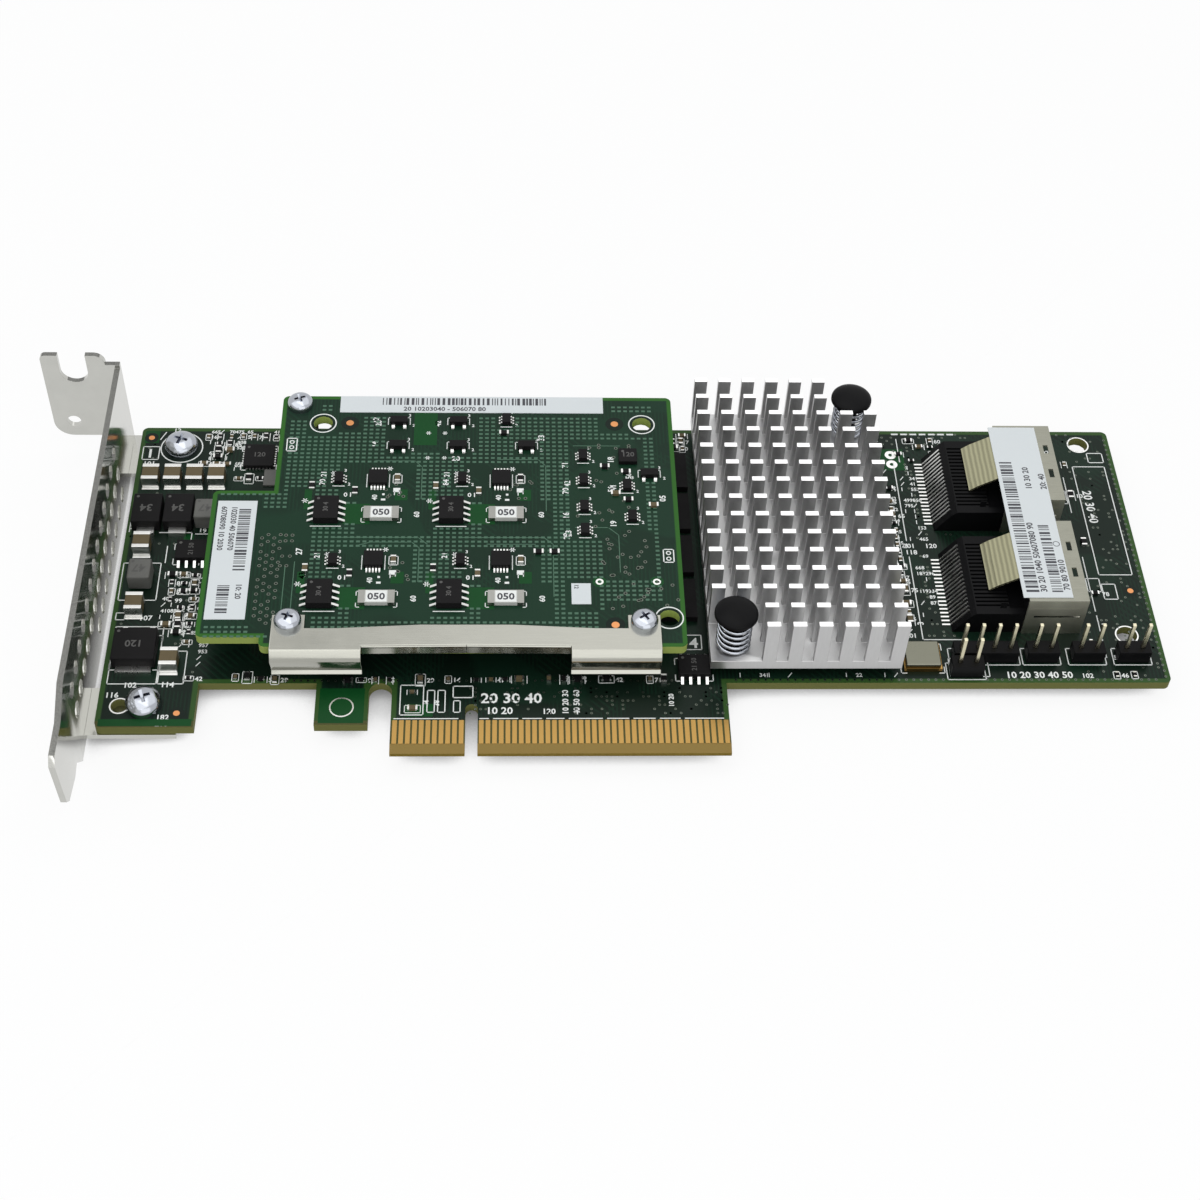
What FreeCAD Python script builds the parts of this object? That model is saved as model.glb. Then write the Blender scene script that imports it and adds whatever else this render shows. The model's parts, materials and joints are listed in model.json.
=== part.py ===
import FreeCAD, Part
import os
import re
import Sketcher

# A low-profile RAID controller card: main board, card-edge contacts, slotted bracket,
# pin-fin heatsink on push pins, two right-angle drive connectors, and a power daughter board
# on standoffs with its metal retention strip.
#
# Frame: millimetres. X runs along the card away from the bracket, Y from the contact edge up,
# Z out of the component side. The origin is the middle of the contact edge's key notch, on the
# underside of the main board.

doc = FreeCAD.newDocument("raid_controller_card")
sheet = doc.addObject("Spreadsheet::Sheet", "Sizes")

SIZES = {
    # main board
    "key_to_left": 56.24,
    "board_thick": 1.57,
    "board_foot": 13.0,
    "board_depth": 55.0,
    "right_margin": 12.7,
    "corner_round": 1.0,
    "low_tab_width": 14.7,
    "low_tab_drop": 8.3,
    "hook_tab_left": 32.6,
    "hook_tab_width": 8.0,
    "hook_tab_drop": 7.9,
    "hook_gap": 3.5,
    "hook_hole_radius": 1.65,
    "tongue_left": 12.14,
    "tongue_right": 39.06,
    "key_width": 1.9,
    "key_depth": 8.0,
    "bevel_rise": 1.5,
    "bevel_cut": 0.45,
    "tooling_hole_radius": 1.65,
    # card-edge contacts
    "contact_pitch": 1.0,
    "contact_width": 0.7,
    "contact_length": 4.4,
    "contact_thick": 0.06,
    "contact_from_key": 1.5,
    "contacts_short_side": 11,
    "contacts_long_side": 38,
    # bracket
    "sheet_thick": 0.9,
    "bracket_gap": 1.6,
    "plate_width": 18.4,
    "plate_below": 1.9,
    "seat_below_top": 1.4,
    "tab_reach": 11.8,
    "tab_rise": 2.7,
    "tab_lower_cut": 3.1,
    "tab_lower_round": 3.0,
    "prong_round": 1.8,
    "prong_setback": 1.4,
    "slot_width": 4.5,
    "slot_from_plate": 6.7,
    "slot_depth": 5.8,
    "tab_hole_radius": 1.15,
    "jog_top": 1.5,
    "jog_drop": 7.3,
    "jog_step": 0.7,
    "tongue_end": 12.6,
    "tongue_inset": 4.8,
    "shoulder_drop": 3.8,
    "tip_inset": 7.7,
    "vent_radius": 1.4,
    "vent_pitch": 4.0,
    "vent_file_pitch": 4.7,
    "vent_low": 4.4,
    "vent_rows": 13,
    "vent_short_rows": 8,
    "ear_reach": 12.0,
    "ear_width": 9.0,
    "ear_screw_from_left": 6.95,
    "ear_screw_low": 8.9,
    "ear_screw_high_drop": 4.7,
    "ear_screw_radius": 1.45,
    "ear_head_radius": 2.75,
    "ear_head_height": 2.3,
    # heatsink
    "sink_gap": 3.8,
    "sink_foot": 1.1,
    "sink_base": 1.8,
    "sink_height": 10.2,
    "fin_width": 2.1,
    "fin_pitch": 3.93,
    "fin_columns": 8,
    "fin_depth": 0.9,
    "row_pitch": 3.78,
    "fin_rows": 15,
    "pin_inset": 3.55,
    "pin_shank_radius": 1.35,
    "pin_head_radius": 3.35,
    "pin_head_height": 1.5,
    "pin_head_lift": 6.8,
    "pin_barb_radius": 1.75,
    "pin_barb_drop": 2.6,
    "spring_radius": 2.45,
    "spring_wire": 0.28,
    "spring_turns": 3,
    # controller package
    "package_size": 29.0,
    "package_height": 1.2,
    "lid_size": 24.0,
    "lid_height": 0.7,
    "pad_height": 0.23,
    # memory packages on the main board
    "memory_length": 11.0,
    "memory_width": 8.0,
    "memory_height": 1.1,
    "memory_pitch": 9.4,
    "memory_count": 4,
    # drive connectors
    "connector_gap": 8.0,
    "connector_foot": 9.9,
    "connector_pitch": 21.6,
    "cage_width": 17.0,
    "cage_depth": 9.4,
    "cage_height": 7.8,
    "cage_wall": 0.3,
    "housing_depth": 13.1,
    "housing_back_height": 4.4,
    "mouth_depth": 7.2,
    "comb_pitch": 0.8,
    "comb_slot": 0.36,
    "comb_slots": 17,
    "tail_width": 0.3,
    "tail_thick": 0.2,
    "tail_reach": 1.4,
    "spring_tongue_width": 9.6,
    "spring_tongue_reach": 4.9,
    "port_label_width": 7.8,
    # daughter board
    "standoff_height": 6.0,
    "standoff_flats": 4.5,
    "daughter_thick": 1.57,
    "daughter_left": 24.3,
    "daughter_length": 64.6,
    "daughter_foot": 1.0,
    "daughter_depth": 54.0,
    "wing_length": 9.6,
    "wing_foot": 1.9,
    "wing_depth": 30.3,
    "daughter_screw_radius": 1.2,
    "daughter_hole_radius": 1.6,
    "screw_head_radius": 2.1,
    "screw_head_height": 1.7,
    # retention strip
    "strip_thick": 0.5,
    "strip_inset_left": 1.7,
    "strip_inset_right": 3.9,
    "strip_width": 4.9,
    "strip_crown": 0.7,
    "flange_length": 13.7,
    "flange_drop": 5.0,
    # board-to-board connectors
    "stack_length": 20.0,
    "stack_width": 4.6,
    "stack_socket_height": 3.9,
    "stack_wall": 0.8,
    # labels
    "label_thick": 0.1,
    # SOIC-8 packages
    "soic_length": 4.9,
    "soic_width": 3.9,
    "soic_height": 1.45,
    "soic_pitch": 1.27,
    "soic_reach": 1.05,
    "soic_lead": 0.42,
    # the four power channels of the daughter board
    "channel_left": 8.6,
    "channel_low": 9.9,
    "channel_pitch_x": 19.8,
    "channel_pitch_y": 17.6,
    "monitor_size": 3.0,
    "monitor_height": 0.9,
    "sense_length": 5.0,
    "sense_width": 2.5,
    "sense_height": 0.7,
    "sense_end": 0.7,
    # small transistors and logic packages
    "sot_length": 2.9,
    "sot_width": 1.4,
    "sot_height": 1.0,
    "logic_size": 2.1,
    "logic_width": 1.4,
    "logic_height": 0.9,
    "lead_thick": 0.18,
    # power entry parts beside the bracket
    "cap_length": 3.3,
    "cap_width": 2.6,
    "cap_height": 2.2,
    "cap_end": 0.6,
    "cap_pitch": 3.6,
    "cap_count": 4,
    "block_length": 6.2,
    "block_width": 4.6,
    "block_height": 2.3,
    "block_pitch": 5.1,
    "coil_size": 4.1,
    "coil_height": 3.0,
    "dpak_width": 6.6,
    "dpak_length": 6.2,
    "dpak_height": 2.3,
    "dpak_tab": 1.1,
    "dpak_plate": 0.5,
    # pin headers
    "header_pitch": 2.54,
    "header_width": 2.5,
    "header_height": 2.5,
    "pin_square": 0.6,
    "pin_above": 7.9,
    "pin_below": 1.1,
    "header_foot": 3.9,
    # oscillator
    "oscillator_gap": 0.8,
    "oscillator_length": 5.9,
    "oscillator_width": 5.2,
    "oscillator_base": 0.7,
    "oscillator_lid": 0.8,
    # quad flat packages and small passives
    "quad_size": 5.0,
    "quad_height": 0.85,
    "chip_length": 1.6,
    "chip_width": 0.8,
    "chip_height": 0.6,
}

for row, (alias, value) in enumerate(SIZES.items(), start=1):
    sheet.set(f"A{row}", alias)
    sheet.set(f"B{row}", str(value))
    sheet.setAlias(f"B{row}", alias)
doc.recompute()


def bound(text):
    """The expression with each size's name pointed at its cell."""
    return re.sub(r"\b[a-z][a-z_]*\b", lambda m: "Sizes." + m[0] if m[0] in SIZES else m[0], str(text))


def number(text):
    """The present value of an expression."""
    return float(sheet.evalExpression(bound(text)))


def bind(thing, **properties):
    """Ties properties to expressions. A double underscore stands for a dot."""
    for name, text in properties.items():
        thing.setExpression(name.replace("__", "."), bound(text))


# ---- Levels and edges that several pieces share, as expressions of the sheet's sizes ----

LEFT = "(0 - key_to_left)"
TOP = "(board_foot + board_depth)"
FACE = "board_thick"
SINK_LEFT = f"({LEFT} + daughter_left + daughter_length + sink_gap)"
SINK_WIDTH = "((fin_columns - 1) * fin_pitch + fin_width)"
SINK_DEPTH = "((fin_rows - 1) * row_pitch + fin_depth)"
SINK_RIGHT = f"({SINK_LEFT} + {SINK_WIDTH})"
SINK_FRONT = "(board_foot + sink_foot)"
SINK_UNDER = "(board_thick + package_height + lid_height + pad_height)"
HOUSING_BACK = f"({SINK_RIGHT} + connector_gap + tail_reach)"
CAGE_RIGHT = f"({HOUSING_BACK} + housing_depth + mouth_depth)"
CAGE_LEFT = f"({CAGE_RIGHT} - cage_depth)"
RIGHT = f"({CAGE_RIGHT} + right_margin)"
CAGE_FRONT = "(board_foot + connector_foot)"
DAUGHTER_LEFT = f"({LEFT} + daughter_left)"
DAUGHTER_FRONT = "(board_foot + daughter_foot)"
DAUGHTER_UNDER = "(board_thick + standoff_height)"
DAUGHTER_FACE = "(board_thick + standoff_height + daughter_thick)"
PLATE_IN = f"({LEFT} - bracket_gap)"
PLATE_OUT = f"({LEFT} - bracket_gap - sheet_thick)"
PLATE_HIGH = "(plate_width - plate_below)"
SEAT = f"({TOP} - seat_below_top)"
EAR_SCREWS = [
    (f"({LEFT} + ear_screw_from_left)", "ear_screw_low"),
    (f"({LEFT} + ear_screw_from_left)", f"({TOP} - ear_screw_high_drop)"),
]
PUSH_PINS = [
    (f"({SINK_LEFT} + pin_inset)", f"({SINK_FRONT} + pin_inset)"),
    (f"({SINK_RIGHT} - pin_inset)", f"({SINK_FRONT} + {SINK_DEPTH} - pin_inset)"),
]
STRIP_LEFT = f"({DAUGHTER_LEFT} + strip_inset_left)"
STRIP_RIGHT = f"({DAUGHTER_LEFT} + daughter_length - strip_inset_right)"
STRIP_SCREWS = [
    (f"({STRIP_LEFT} + 2.5)", f"({DAUGHTER_FRONT} + 4.4)"),
    (f"({STRIP_RIGHT} - 2.5)", f"({DAUGHTER_FRONT} + 4.4)"),
]
CORNER_SCREW = (f"({DAUGHTER_LEFT} + 2.9)", f"({DAUGHTER_FRONT} + daughter_depth - 2.1)")
CHANNEL_X = f"({DAUGHTER_LEFT} + channel_left)"
CHANNEL_Y = f"({DAUGHTER_FRONT} + channel_low)"

HEADER_ROW = "(board_foot + header_foot)"
HEADERS = [(f"({RIGHT} - 34.5)", "(board_foot + 1.0)", "2"), (f"({RIGHT} - 33.8)", HEADER_ROW, "4"),
           (f"({RIGHT} - 22.3)", HEADER_ROW, "2"), (f"({RIGHT} - 15.1)", HEADER_ROW, "2"),
           (f"({RIGHT} - 7.9)", HEADER_ROW, "2")]

NODES = []


# ---- Building blocks ----

def new_body(label):
    """A sub-part: a body whose label names its file."""
    body = doc.addObject("PartDesign::Body", label)
    body.Label = label
    body.Placement = FreeCAD.Placement()
    NODES.append(body)
    return body


def origin_feature(body, role):
    return next(part for part in body.Origin.OriginFeatures if part.Role == role)


def block(body, name, low, size, cut=False):
    """A rectangular block, added or cut away, from its low corner."""
    kind = "SubtractiveBox" if cut else "AdditiveBox"
    made = body.newObject("PartDesign::" + kind, name)
    bind(made, Length=size[0], Width=size[1], Height=size[2])
    bind(made, Placement__Base__x=low[0], Placement__Base__y=low[1], Placement__Base__z=low[2])
    return made


def drum(body, name, centre, radius, height, cut=False):
    """An upright cylinder, added or cut away, from the centre of its foot."""
    kind = "SubtractiveCylinder" if cut else "AdditiveCylinder"
    made = body.newObject("PartDesign::" + kind, name)
    bind(made, Radius=radius, Height=height)
    bind(made, Placement__Base__x=centre[0], Placement__Base__y=centre[1], Placement__Base__z=centre[2])
    return made


def attach(body, name, plane, shift):
    sketch = body.newObject("Sketcher::SketchObject", name)
    sketch.AttachmentSupport = [(origin_feature(body, plane), "")]
    sketch.MapMode = "FlatFace"
    bind(sketch, AttachmentOffset__Base__x=shift[0])
    bind(sketch, AttachmentOffset__Base__y=shift[1])
    bind(sketch, AttachmentOffset__Base__z=shift[2])
    return sketch


def polygon(sketch, corners):
    """A closed outline whose every corner is placed by two expressions."""
    first = sketch.GeometryCount
    spots = [FreeCAD.Vector(number(x), number(y), 0) for x, y in corners]
    count = len(spots)
    for index in range(count):
        sketch.addGeometry(Part.LineSegment(spots[index], spots[(index + 1) % count]), False)
    for index in range(count):
        following = first + (index + 1) % count
        sketch.addConstraint(Sketcher.Constraint("Coincident", first + index, 2, following, 1))
    for index, (x, y) in enumerate(corners):
        for way, text, value in (("DistanceX", x, spots[index].x), ("DistanceY", y, spots[index].y)):
            made = sketch.addConstraint(Sketcher.Constraint(way, -1, 1, first + index, 1, value))
            sketch.setExpression(f"Constraints[{made}]", bound(text))


def slab(body, name, plane, start, depth, outlines, cut=False):
    """Outlines on a plane, extruded or cut from start to start + depth along the frame's axis."""
    facing_back = plane == "XZ_Plane"
    sketch = attach(body, name + "_outline", plane, ("0", "0", f"0 - ({start})" if facing_back else start))
    for corners in outlines:
        polygon(sketch, corners)
    made = body.newObject("PartDesign::Pocket" if cut else "PartDesign::Pad", name)
    made.Profile = sketch
    made.Reversed = facing_back != cut
    bind(made, Length=depth)
    return made


def rectangle(low, size):
    """The corners of a rectangle, from its low corner."""
    x, y = low
    length, width = size
    return [(x, y), (f"{x} + {length}", y), (f"{x} + {length}", f"{y} + {width}"), (x, f"{y} + {width}")]


def ring_of_corners(x, y, radius, sides=12):
    """The outline of a small round hole or stud that is repeated, drawn with few sides."""
    turns = [f"{360 * index / sides:g} deg" for index in range(sides)]
    return [(f"{x} + ({radius}) * cos({turn})", f"{y} + ({radius}) * sin({turn})") for turn in turns]


def stud(body, name, centre, radius, low, height, cut=False, sides=12):
    """An upright round stud or hole drawn with few sides, for what is small and repeated."""
    return slab(body, name, "XY_Plane", low, height, [ring_of_corners(centre[0], centre[1], radius, sides)], cut)


def pan_screw(body, name, centre, shank, seat, head):
    """A pan-head screw: its shank from a low level to the seat, and a head in two steps."""
    (shank_radius, low), (head_radius, head_height) = shank, head
    stud(body, f"{name}_shank", centre, shank_radius, low, f"{seat} - ({low}) + 0.2")
    stud(body, f"{name}_head", centre, head_radius, seat, f"{head_height} * 0.6", sides=16)
    stud(body, f"{name}_crown", centre, f"{head_radius} * 0.74", f"{seat} + {head_height} * 0.5",
         f"{head_height} * 0.5", sides=16)


def repeat(body, name, ways, features=None):
    """Copies of the whole body so far, or of some features, along one or two axes."""
    last = body.Tip
    made = body.newObject("PartDesign::LinearPattern", name)
    if features:
        made.Originals = features
    else:
        made.TransformMode = "Whole shape"
        made.BaseFeature = last
    for (axis, step, count), end in zip(ways, ("", "2")):
        setattr(made, "Direction" + end, (origin_feature(body, axis + "_Axis"), [""]))
        made.setExpression("Length" + end, bound(f"({step}) * ({count} - 1)"))
        made.setExpression("Occurrences" + end, bound(count))
    body.Tip = made
    return made


def round_edges(body, name, radius, chosen):
    """Rounds the edges of the body so far that a test picks."""
    doc.recompute()
    base = body.Tip
    names = [f"Edge{i}" for i, edge in enumerate(base.Shape.Edges, start=1) if chosen(edge)]
    made = body.newObject("PartDesign::Fillet", name)
    made.Base = (base, names)
    bind(made, Radius=radius)
    body.Tip = made
    return made


def runs_along(edge, axis, *near):
    """Whether a straight edge runs along an axis and passes near a given place."""
    if edge.Curve.TypeId != "Part::GeomLine":
        return False
    start, end = edge.Vertexes[0].Point, edge.Vertexes[-1].Point
    way = end - start
    if abs(abs(way[axis]) - way.Length) > 0.001:
        return False
    middle = (start + end) / 2
    return all(abs(middle[along] - place) < 0.01 for along, place in near)


# ---- Main board ----

def make_main_board():
    body = new_body("main_board")
    block(body, "board_field", (LEFT, "board_foot", "0"), (f"{RIGHT} - {LEFT}", "board_depth", FACE))
    block(body, "low_tab", (LEFT, "board_foot - low_tab_drop", "0"),
          ("low_tab_width", "low_tab_drop + 1", FACE))
    block(body, "hook_tab", (f"{LEFT} + hook_tab_left", "board_foot - hook_tab_drop", "0"),
          ("hook_tab_width", "hook_tab_drop + 1", FACE))
    arch = f"({LEFT} + hook_tab_left + hook_tab_width + hook_gap / 2)"
    block(body, "arch_web", (f"{arch} - hook_gap / 2 - 0.5", "board_foot - hook_gap / 2", "0"),
          ("hook_gap + 1", "hook_gap / 2 + 1", FACE))
    block(body, "edge_tongue", ("0 - tongue_left", "0", "0"),
          ("tongue_left + tongue_right", "board_foot + 1", FACE))
    drum(body, "hook_arch", (arch, "board_foot - hook_gap / 2", "-1"), "hook_gap / 2", "board_thick + 2", cut=True)
    block(body, "key_slot", ("0 - key_width / 2", "-1", "-1"), ("key_width", "key_depth + 1", "board_thick + 2"), cut=True)
    drum(body, "key_slot_end", ("0", "key_depth", "-1"), "key_width / 2", "board_thick + 2", cut=True)
    slope = [("bevel_rise", FACE), ("0 - bevel_rise", "board_thick - 2 * bevel_cut"),
             ("0 - bevel_rise", "board_thick + 1"), ("bevel_rise", "board_thick + 1")]
    under = [("bevel_rise", "0"), ("bevel_rise", "-1"),
             ("0 - bevel_rise", "-1"), ("0 - bevel_rise", "2 * bevel_cut")]
    slab(body, "edge_bevel", "YZ_Plane", "0 - tongue_left - 1", "tongue_left + tongue_right + 2",
         [slope, under], cut=True)
    holes = [("low_hole", f"{LEFT} + 3.3", "8.7", "1.3"),
             ("hook_hole", f"{LEFT} + hook_tab_left + hook_tab_width / 2", "board_foot - hook_tab_drop + 3.3",
              "hook_hole_radius"),
             ("high_right_hole", f"{RIGHT} - 5.4", f"{TOP} - 3.2", "tooling_hole_radius"),
             ("low_right_hole", f"{RIGHT} - 5.2", "board_foot + 9.6", "tooling_hole_radius")]
    for index, (x, y) in enumerate(EAR_SCREWS):
        holes.append((f"ear_hole_{index}", x, y, "ear_screw_radius + 0.15"))
    for index, (x, y) in enumerate(PUSH_PINS):
        holes.append((f"push_hole_{index}", x, y, "pin_shank_radius + 0.15"))
    for name, x, y, radius in holes:
        if radius == "hook_hole_radius":
            drum(body, name, (x, y, "-1"), radius, "board_thick + 2", cut=True)
        else:
            stud(body, name, (x, y), radius, "-1", "board_thick + 2", cut=True)
    for index, (x, y, count) in enumerate(HEADERS):
        hole = block(body, f"pin_hole_{index}",
                     (f"{x} + header_pitch / 2 - pin_square / 2", f"{y} + header_width / 2 - pin_square / 2", "-1"),
                     ("pin_square", "pin_square", "board_thick + 2"), cut=True)
        repeat(body, f"pin_holes_{index}", [("X", "header_pitch", count)], [hole])
    right = number(RIGHT)
    left = number(LEFT)
    round_edges(body, "board_corners", "corner_round",
                lambda edge: runs_along(edge, 2, (0, right)) or runs_along(edge, 2, (0, left)))


def make_edge_contacts():
    body = new_body("edge_contacts")
    size = ("contact_width", "contact_length", "contact_thick")
    for side, start, count, way in (("short", "0 - contact_from_key - (contacts_short_side - 1) * contact_pitch",
                                     "contacts_short_side", "X"),
                                    ("long", "contact_from_key", "contacts_long_side", "X")):
        x = f"{start} - contact_width / 2"
        face = block(body, side + "_face", (x, "bevel_rise", FACE), size)
        back = block(body, side + "_back", (x, "bevel_rise", "0 - contact_thick"), size)
        repeat(body, side + "_row", [(way, "contact_pitch", count)], [face, back])


# ---- Bracket ----

def make_bracket():
    body = new_body("mounting_bracket")
    tab_end = f"({PLATE_OUT} - tab_reach)"
    tab_low = "(tab_lower_cut - plate_below)"
    tab_high = f"({PLATE_HIGH} + tab_rise)"
    jog_end = "(jog_top - jog_drop)"
    folded = [(tab_end, SEAT), (PLATE_OUT, SEAT), (PLATE_OUT, "jog_top"),
              (f"{PLATE_OUT} + jog_step", jog_end), (f"{PLATE_OUT} + jog_step", "0 - tongue_end - 1"),
              (f"{PLATE_IN} + jog_step", "0 - tongue_end - 1"), (f"{PLATE_IN} + jog_step", jog_end),
              (PLATE_IN, "jog_top"), (PLATE_IN, f"{SEAT} + sheet_thick"), (tab_end, f"{SEAT} + sheet_thick")]
    slab(body, "folded_sheet", "XY_Plane", "0 - plate_below", f"{tab_high} + plate_below", [folded])

    # seen from the side, the plate stops below the tab and narrows to the tongue
    above_plate = rectangle(("0 - tongue_end - 2", PLATE_HIGH), (f"{SEAT} + tongue_end + 2", "tab_rise + 1"))
    tongue = [("1.0", "0 - plate_below - 1"), ("1.0", "0 - plate_below"),
              ("1.0 - shoulder_drop", "tongue_inset - plate_below"),
              ("2.0 - tongue_end", "tip_inset - 1.4 - plate_below"),
              ("0.8 - tongue_end", "tip_inset - plate_below"),
              ("0 - tongue_end", f"{PLATE_HIGH} - 1.2"), ("1.2 - tongue_end", PLATE_HIGH),
              ("0 - tongue_end - 2", PLATE_HIGH), ("0 - tongue_end - 2", "0 - plate_below - 1")]
    slab(body, "side_trim", "YZ_Plane", f"{tab_end} - 1", "tab_reach + jog_step + 4", [above_plate, tongue], cut=True)

    # the tab is shorter than the plate below and carries the open screw slot above
    slot = f"({PLATE_OUT} - slot_from_plate)"
    slot_floor = f"({tab_high} - slot_depth + slot_width / 2)"
    below_tab = rectangle((f"{tab_end} - 1", "0 - plate_below - 1"), ("tab_reach + 1", "tab_lower_cut + 1"))
    beside_prong = rectangle((f"{PLATE_OUT} - prong_setback", f"{PLATE_HIGH} + 0.7"), ("prong_setback + 2", "tab_rise + 1"))
    slot_walls = rectangle((f"{slot} - slot_width / 2", slot_floor), ("slot_width", "slot_depth"))
    slab(body, "tab_trim", "XZ_Plane", f"{SEAT} - 0.5", "sheet_thick + 1", [below_tab, beside_prong, slot_walls], cut=True)
    for name, x, z, radius in (("slot_floor", slot, slot_floor, "slot_width / 2"),
                               ("tab_hole", f"{tab_end} + 3.4", f"{tab_low} + 3.3", "tab_hole_radius")):
        drill = body.newObject("PartDesign::SubtractiveCylinder", name)
        drill.Placement.Rotation = FreeCAD.Rotation(FreeCAD.Vector(1, 0, 0), -90)
        bind(drill, Radius=radius, Height="sheet_thick + 2",
             Placement__Base__x=x, Placement__Base__y=f"{SEAT} - 1", Placement__Base__z=z)
    for index, (x, y) in enumerate(EAR_SCREWS):
        block(body, f"ear_{index}", (f"{PLATE_IN} - 0.2", f"{y} - ear_width / 2", "0 - sheet_thick"),
              ("ear_reach + bracket_gap + 0.2", "ear_width", "sheet_thick"))
        stud(body, f"ear_thread_{index}", (x, y), "ear_screw_radius", "0 - sheet_thick - 1", "sheet_thick + 2", cut=True)

    # vent holes: two full files, and a shorter one on the solder side
    file_middle = "(plate_width / 2 - plate_below - 0.9)"
    for name, low_row, height, ways in (
            ("full_files", "0", file_middle, [("Y", "vent_pitch", "vent_rows"), ("Z", "vent_file_pitch", "2")]),
            ("short_file", "vent_rows - vent_short_rows", f"{file_middle} - vent_file_pitch",
             [("Y", "vent_pitch", "vent_short_rows")])):
        low = f"(vent_low + ({low_row}) * vent_pitch)"
        hole = slab(body, f"{name}_hole", "YZ_Plane", f"{PLATE_OUT} - 1", "sheet_thick + jog_step + 2",
                    [ring_of_corners(low, height, "vent_radius", 8)], cut=True)
        repeat(body, name, ways, [hole])
    end, low, high = number(tab_end), number(tab_low), number(tab_high)
    prong = number(f"{PLATE_OUT} - prong_setback")
    round_edges(body, "tab_lower_corner", "tab_lower_round", lambda edge: runs_along(edge, 1, (0, end), (2, low)))
    round_edges(body, "prong_corners", "prong_round", lambda edge: runs_along(edge, 1, (0, prong), (2, high)))
    round_edges(body, "tab_upper_corner", "prong_round / 2", lambda edge: runs_along(edge, 1, (0, end), (2, high)))


def make_bracket_screws():
    body = new_body("bracket_screws")
    for index, centre in enumerate(EAR_SCREWS):
        pan_screw(body, f"screw_{index}", centre, ("ear_screw_radius", "0 - sheet_thick - 0.6"), FACE,
                  ("ear_head_radius", "ear_head_height"))


# ---- Heatsink, its push pins and what it cools ----

def make_heatsink():
    body = new_body("heatsink")
    base_top = f"({SINK_UNDER} + sink_base)"
    crown = f"({SINK_UNDER} + sink_height)"
    comb = [(SINK_RIGHT, SINK_UNDER), (SINK_LEFT, SINK_UNDER)]
    columns = int(number("fin_columns"))
    for column in range(columns):
        left = f"({SINK_LEFT} + {column} * fin_pitch)"
        if column > 0:
            comb.append((left, base_top))
        comb.append((left, crown))
        comb.append((f"{left} + fin_width", crown))
        if column < columns - 1:
            comb.append((f"{left} + fin_width", base_top))
    slab(body, "extruded_comb", "XZ_Plane", SINK_FRONT, SINK_DEPTH, [comb])
    saw = block(body, "saw_cut", (f"{SINK_LEFT} - 1", f"{SINK_FRONT} + fin_depth", base_top),
                (f"{SINK_WIDTH} + 2", "row_pitch - fin_depth", "sink_height"), cut=True)
    repeat(body, "saw_cuts", [("Y", "row_pitch", "fin_rows - 1")], [saw])
    corner = ("2 * fin_pitch - 0.1", "2 * row_pitch - 0.1", "sink_height")
    block(body, "near_pin_clearing", (f"{SINK_LEFT} - 0.1", f"{SINK_FRONT} - 0.1", base_top), corner, cut=True)
    block(body, "far_pin_clearing",
          (f"{SINK_RIGHT} - 2 * fin_pitch + 0.2", f"{SINK_FRONT} + {SINK_DEPTH} - 2 * row_pitch + 0.2", base_top),
          corner, cut=True)
    for index, (x, y) in enumerate(PUSH_PINS):
        stud(body, f"pin_hole_{index}", (x, y), "pin_shank_radius + 0.15", f"{SINK_UNDER} - 1", "sink_base + 2", cut=True)


def make_push_pins():
    body = new_body("push_pins")
    collar = f"({SINK_UNDER} + sink_base + pin_head_lift)"
    for index, centre in enumerate(PUSH_PINS):
        stud(body, f"barb_tip_{index}", centre, "pin_barb_radius * 0.6", "0 - pin_barb_drop", "pin_barb_drop * 0.6")
        stud(body, f"barb_{index}", centre, "pin_barb_radius", "0 - pin_barb_drop * 0.5", "pin_barb_drop * 0.5")
        stud(body, f"shank_{index}", centre, "pin_shank_radius", "0", f"{collar} + 0.2")
        stud(body, f"head_{index}", centre, "pin_head_radius", collar, "pin_head_height * 0.6", sides=20)
        stud(body, f"crown_{index}", centre, "pin_head_radius * 0.76", f"{collar} + pin_head_height * 0.5",
             "pin_head_height * 0.5", sides=20)


def make_push_pin_springs():
    """Each spring is a square wire wound in eight rising flats a turn."""
    body = new_body("push_pin_springs")
    rise = "((pin_head_lift - 2 * spring_wire - 0.05) / spring_turns)"
    for index, (x, y) in enumerate(PUSH_PINS):
        inside = ring_of_corners(x, y, "spring_radius - spring_wire", 8)
        outside = ring_of_corners(x, y, "spring_radius + spring_wire", 8)
        for flat in range(8):
            following = (flat + 1) % 8
            flats = [slab(body, f"flat_{index}_{flat}", "XY_Plane",
                          f"{SINK_UNDER} + sink_base + 0.02 + {rise} * {flat} / 8", "2 * spring_wire",
                          [[inside[flat], outside[flat], outside[following], inside[following]]])]
            repeat(body, f"turns_{index}_{flat}", [("Z", rise, "spring_turns")], flats)


def make_controller():
    body = new_body("controller_chip")
    x = f"({SINK_LEFT} + {SINK_WIDTH} / 2)"
    y = f"({SINK_FRONT} + {SINK_DEPTH} / 2)"
    block(body, "substrate", (f"{x} - package_size / 2", f"{y} - package_size / 2", FACE),
          ("package_size", "package_size", "package_height"))
    block(body, "lid", (f"{x} - lid_size / 2", f"{y} - lid_size / 2", f"{FACE} + package_height"),
          ("lid_size", "lid_size", "lid_height"))
    pad = new_body("thermal_pad")
    block(pad, "pad", (f"{x} - lid_size / 2", f"{y} - lid_size / 2", f"{FACE} + package_height + lid_height"),
          ("lid_size", "lid_size", "pad_height"))


def make_memory_chips():
    body = new_body("memory_chips")
    block(body, "package", (f"{SINK_LEFT} - 1.2 - memory_length", f"{SINK_FRONT} + 11.2", FACE),
          ("memory_length", "memory_width", "memory_height"))
    repeat(body, "packages", [("Y", "memory_pitch", "memory_count")])


# ---- Drive connectors ----

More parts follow.
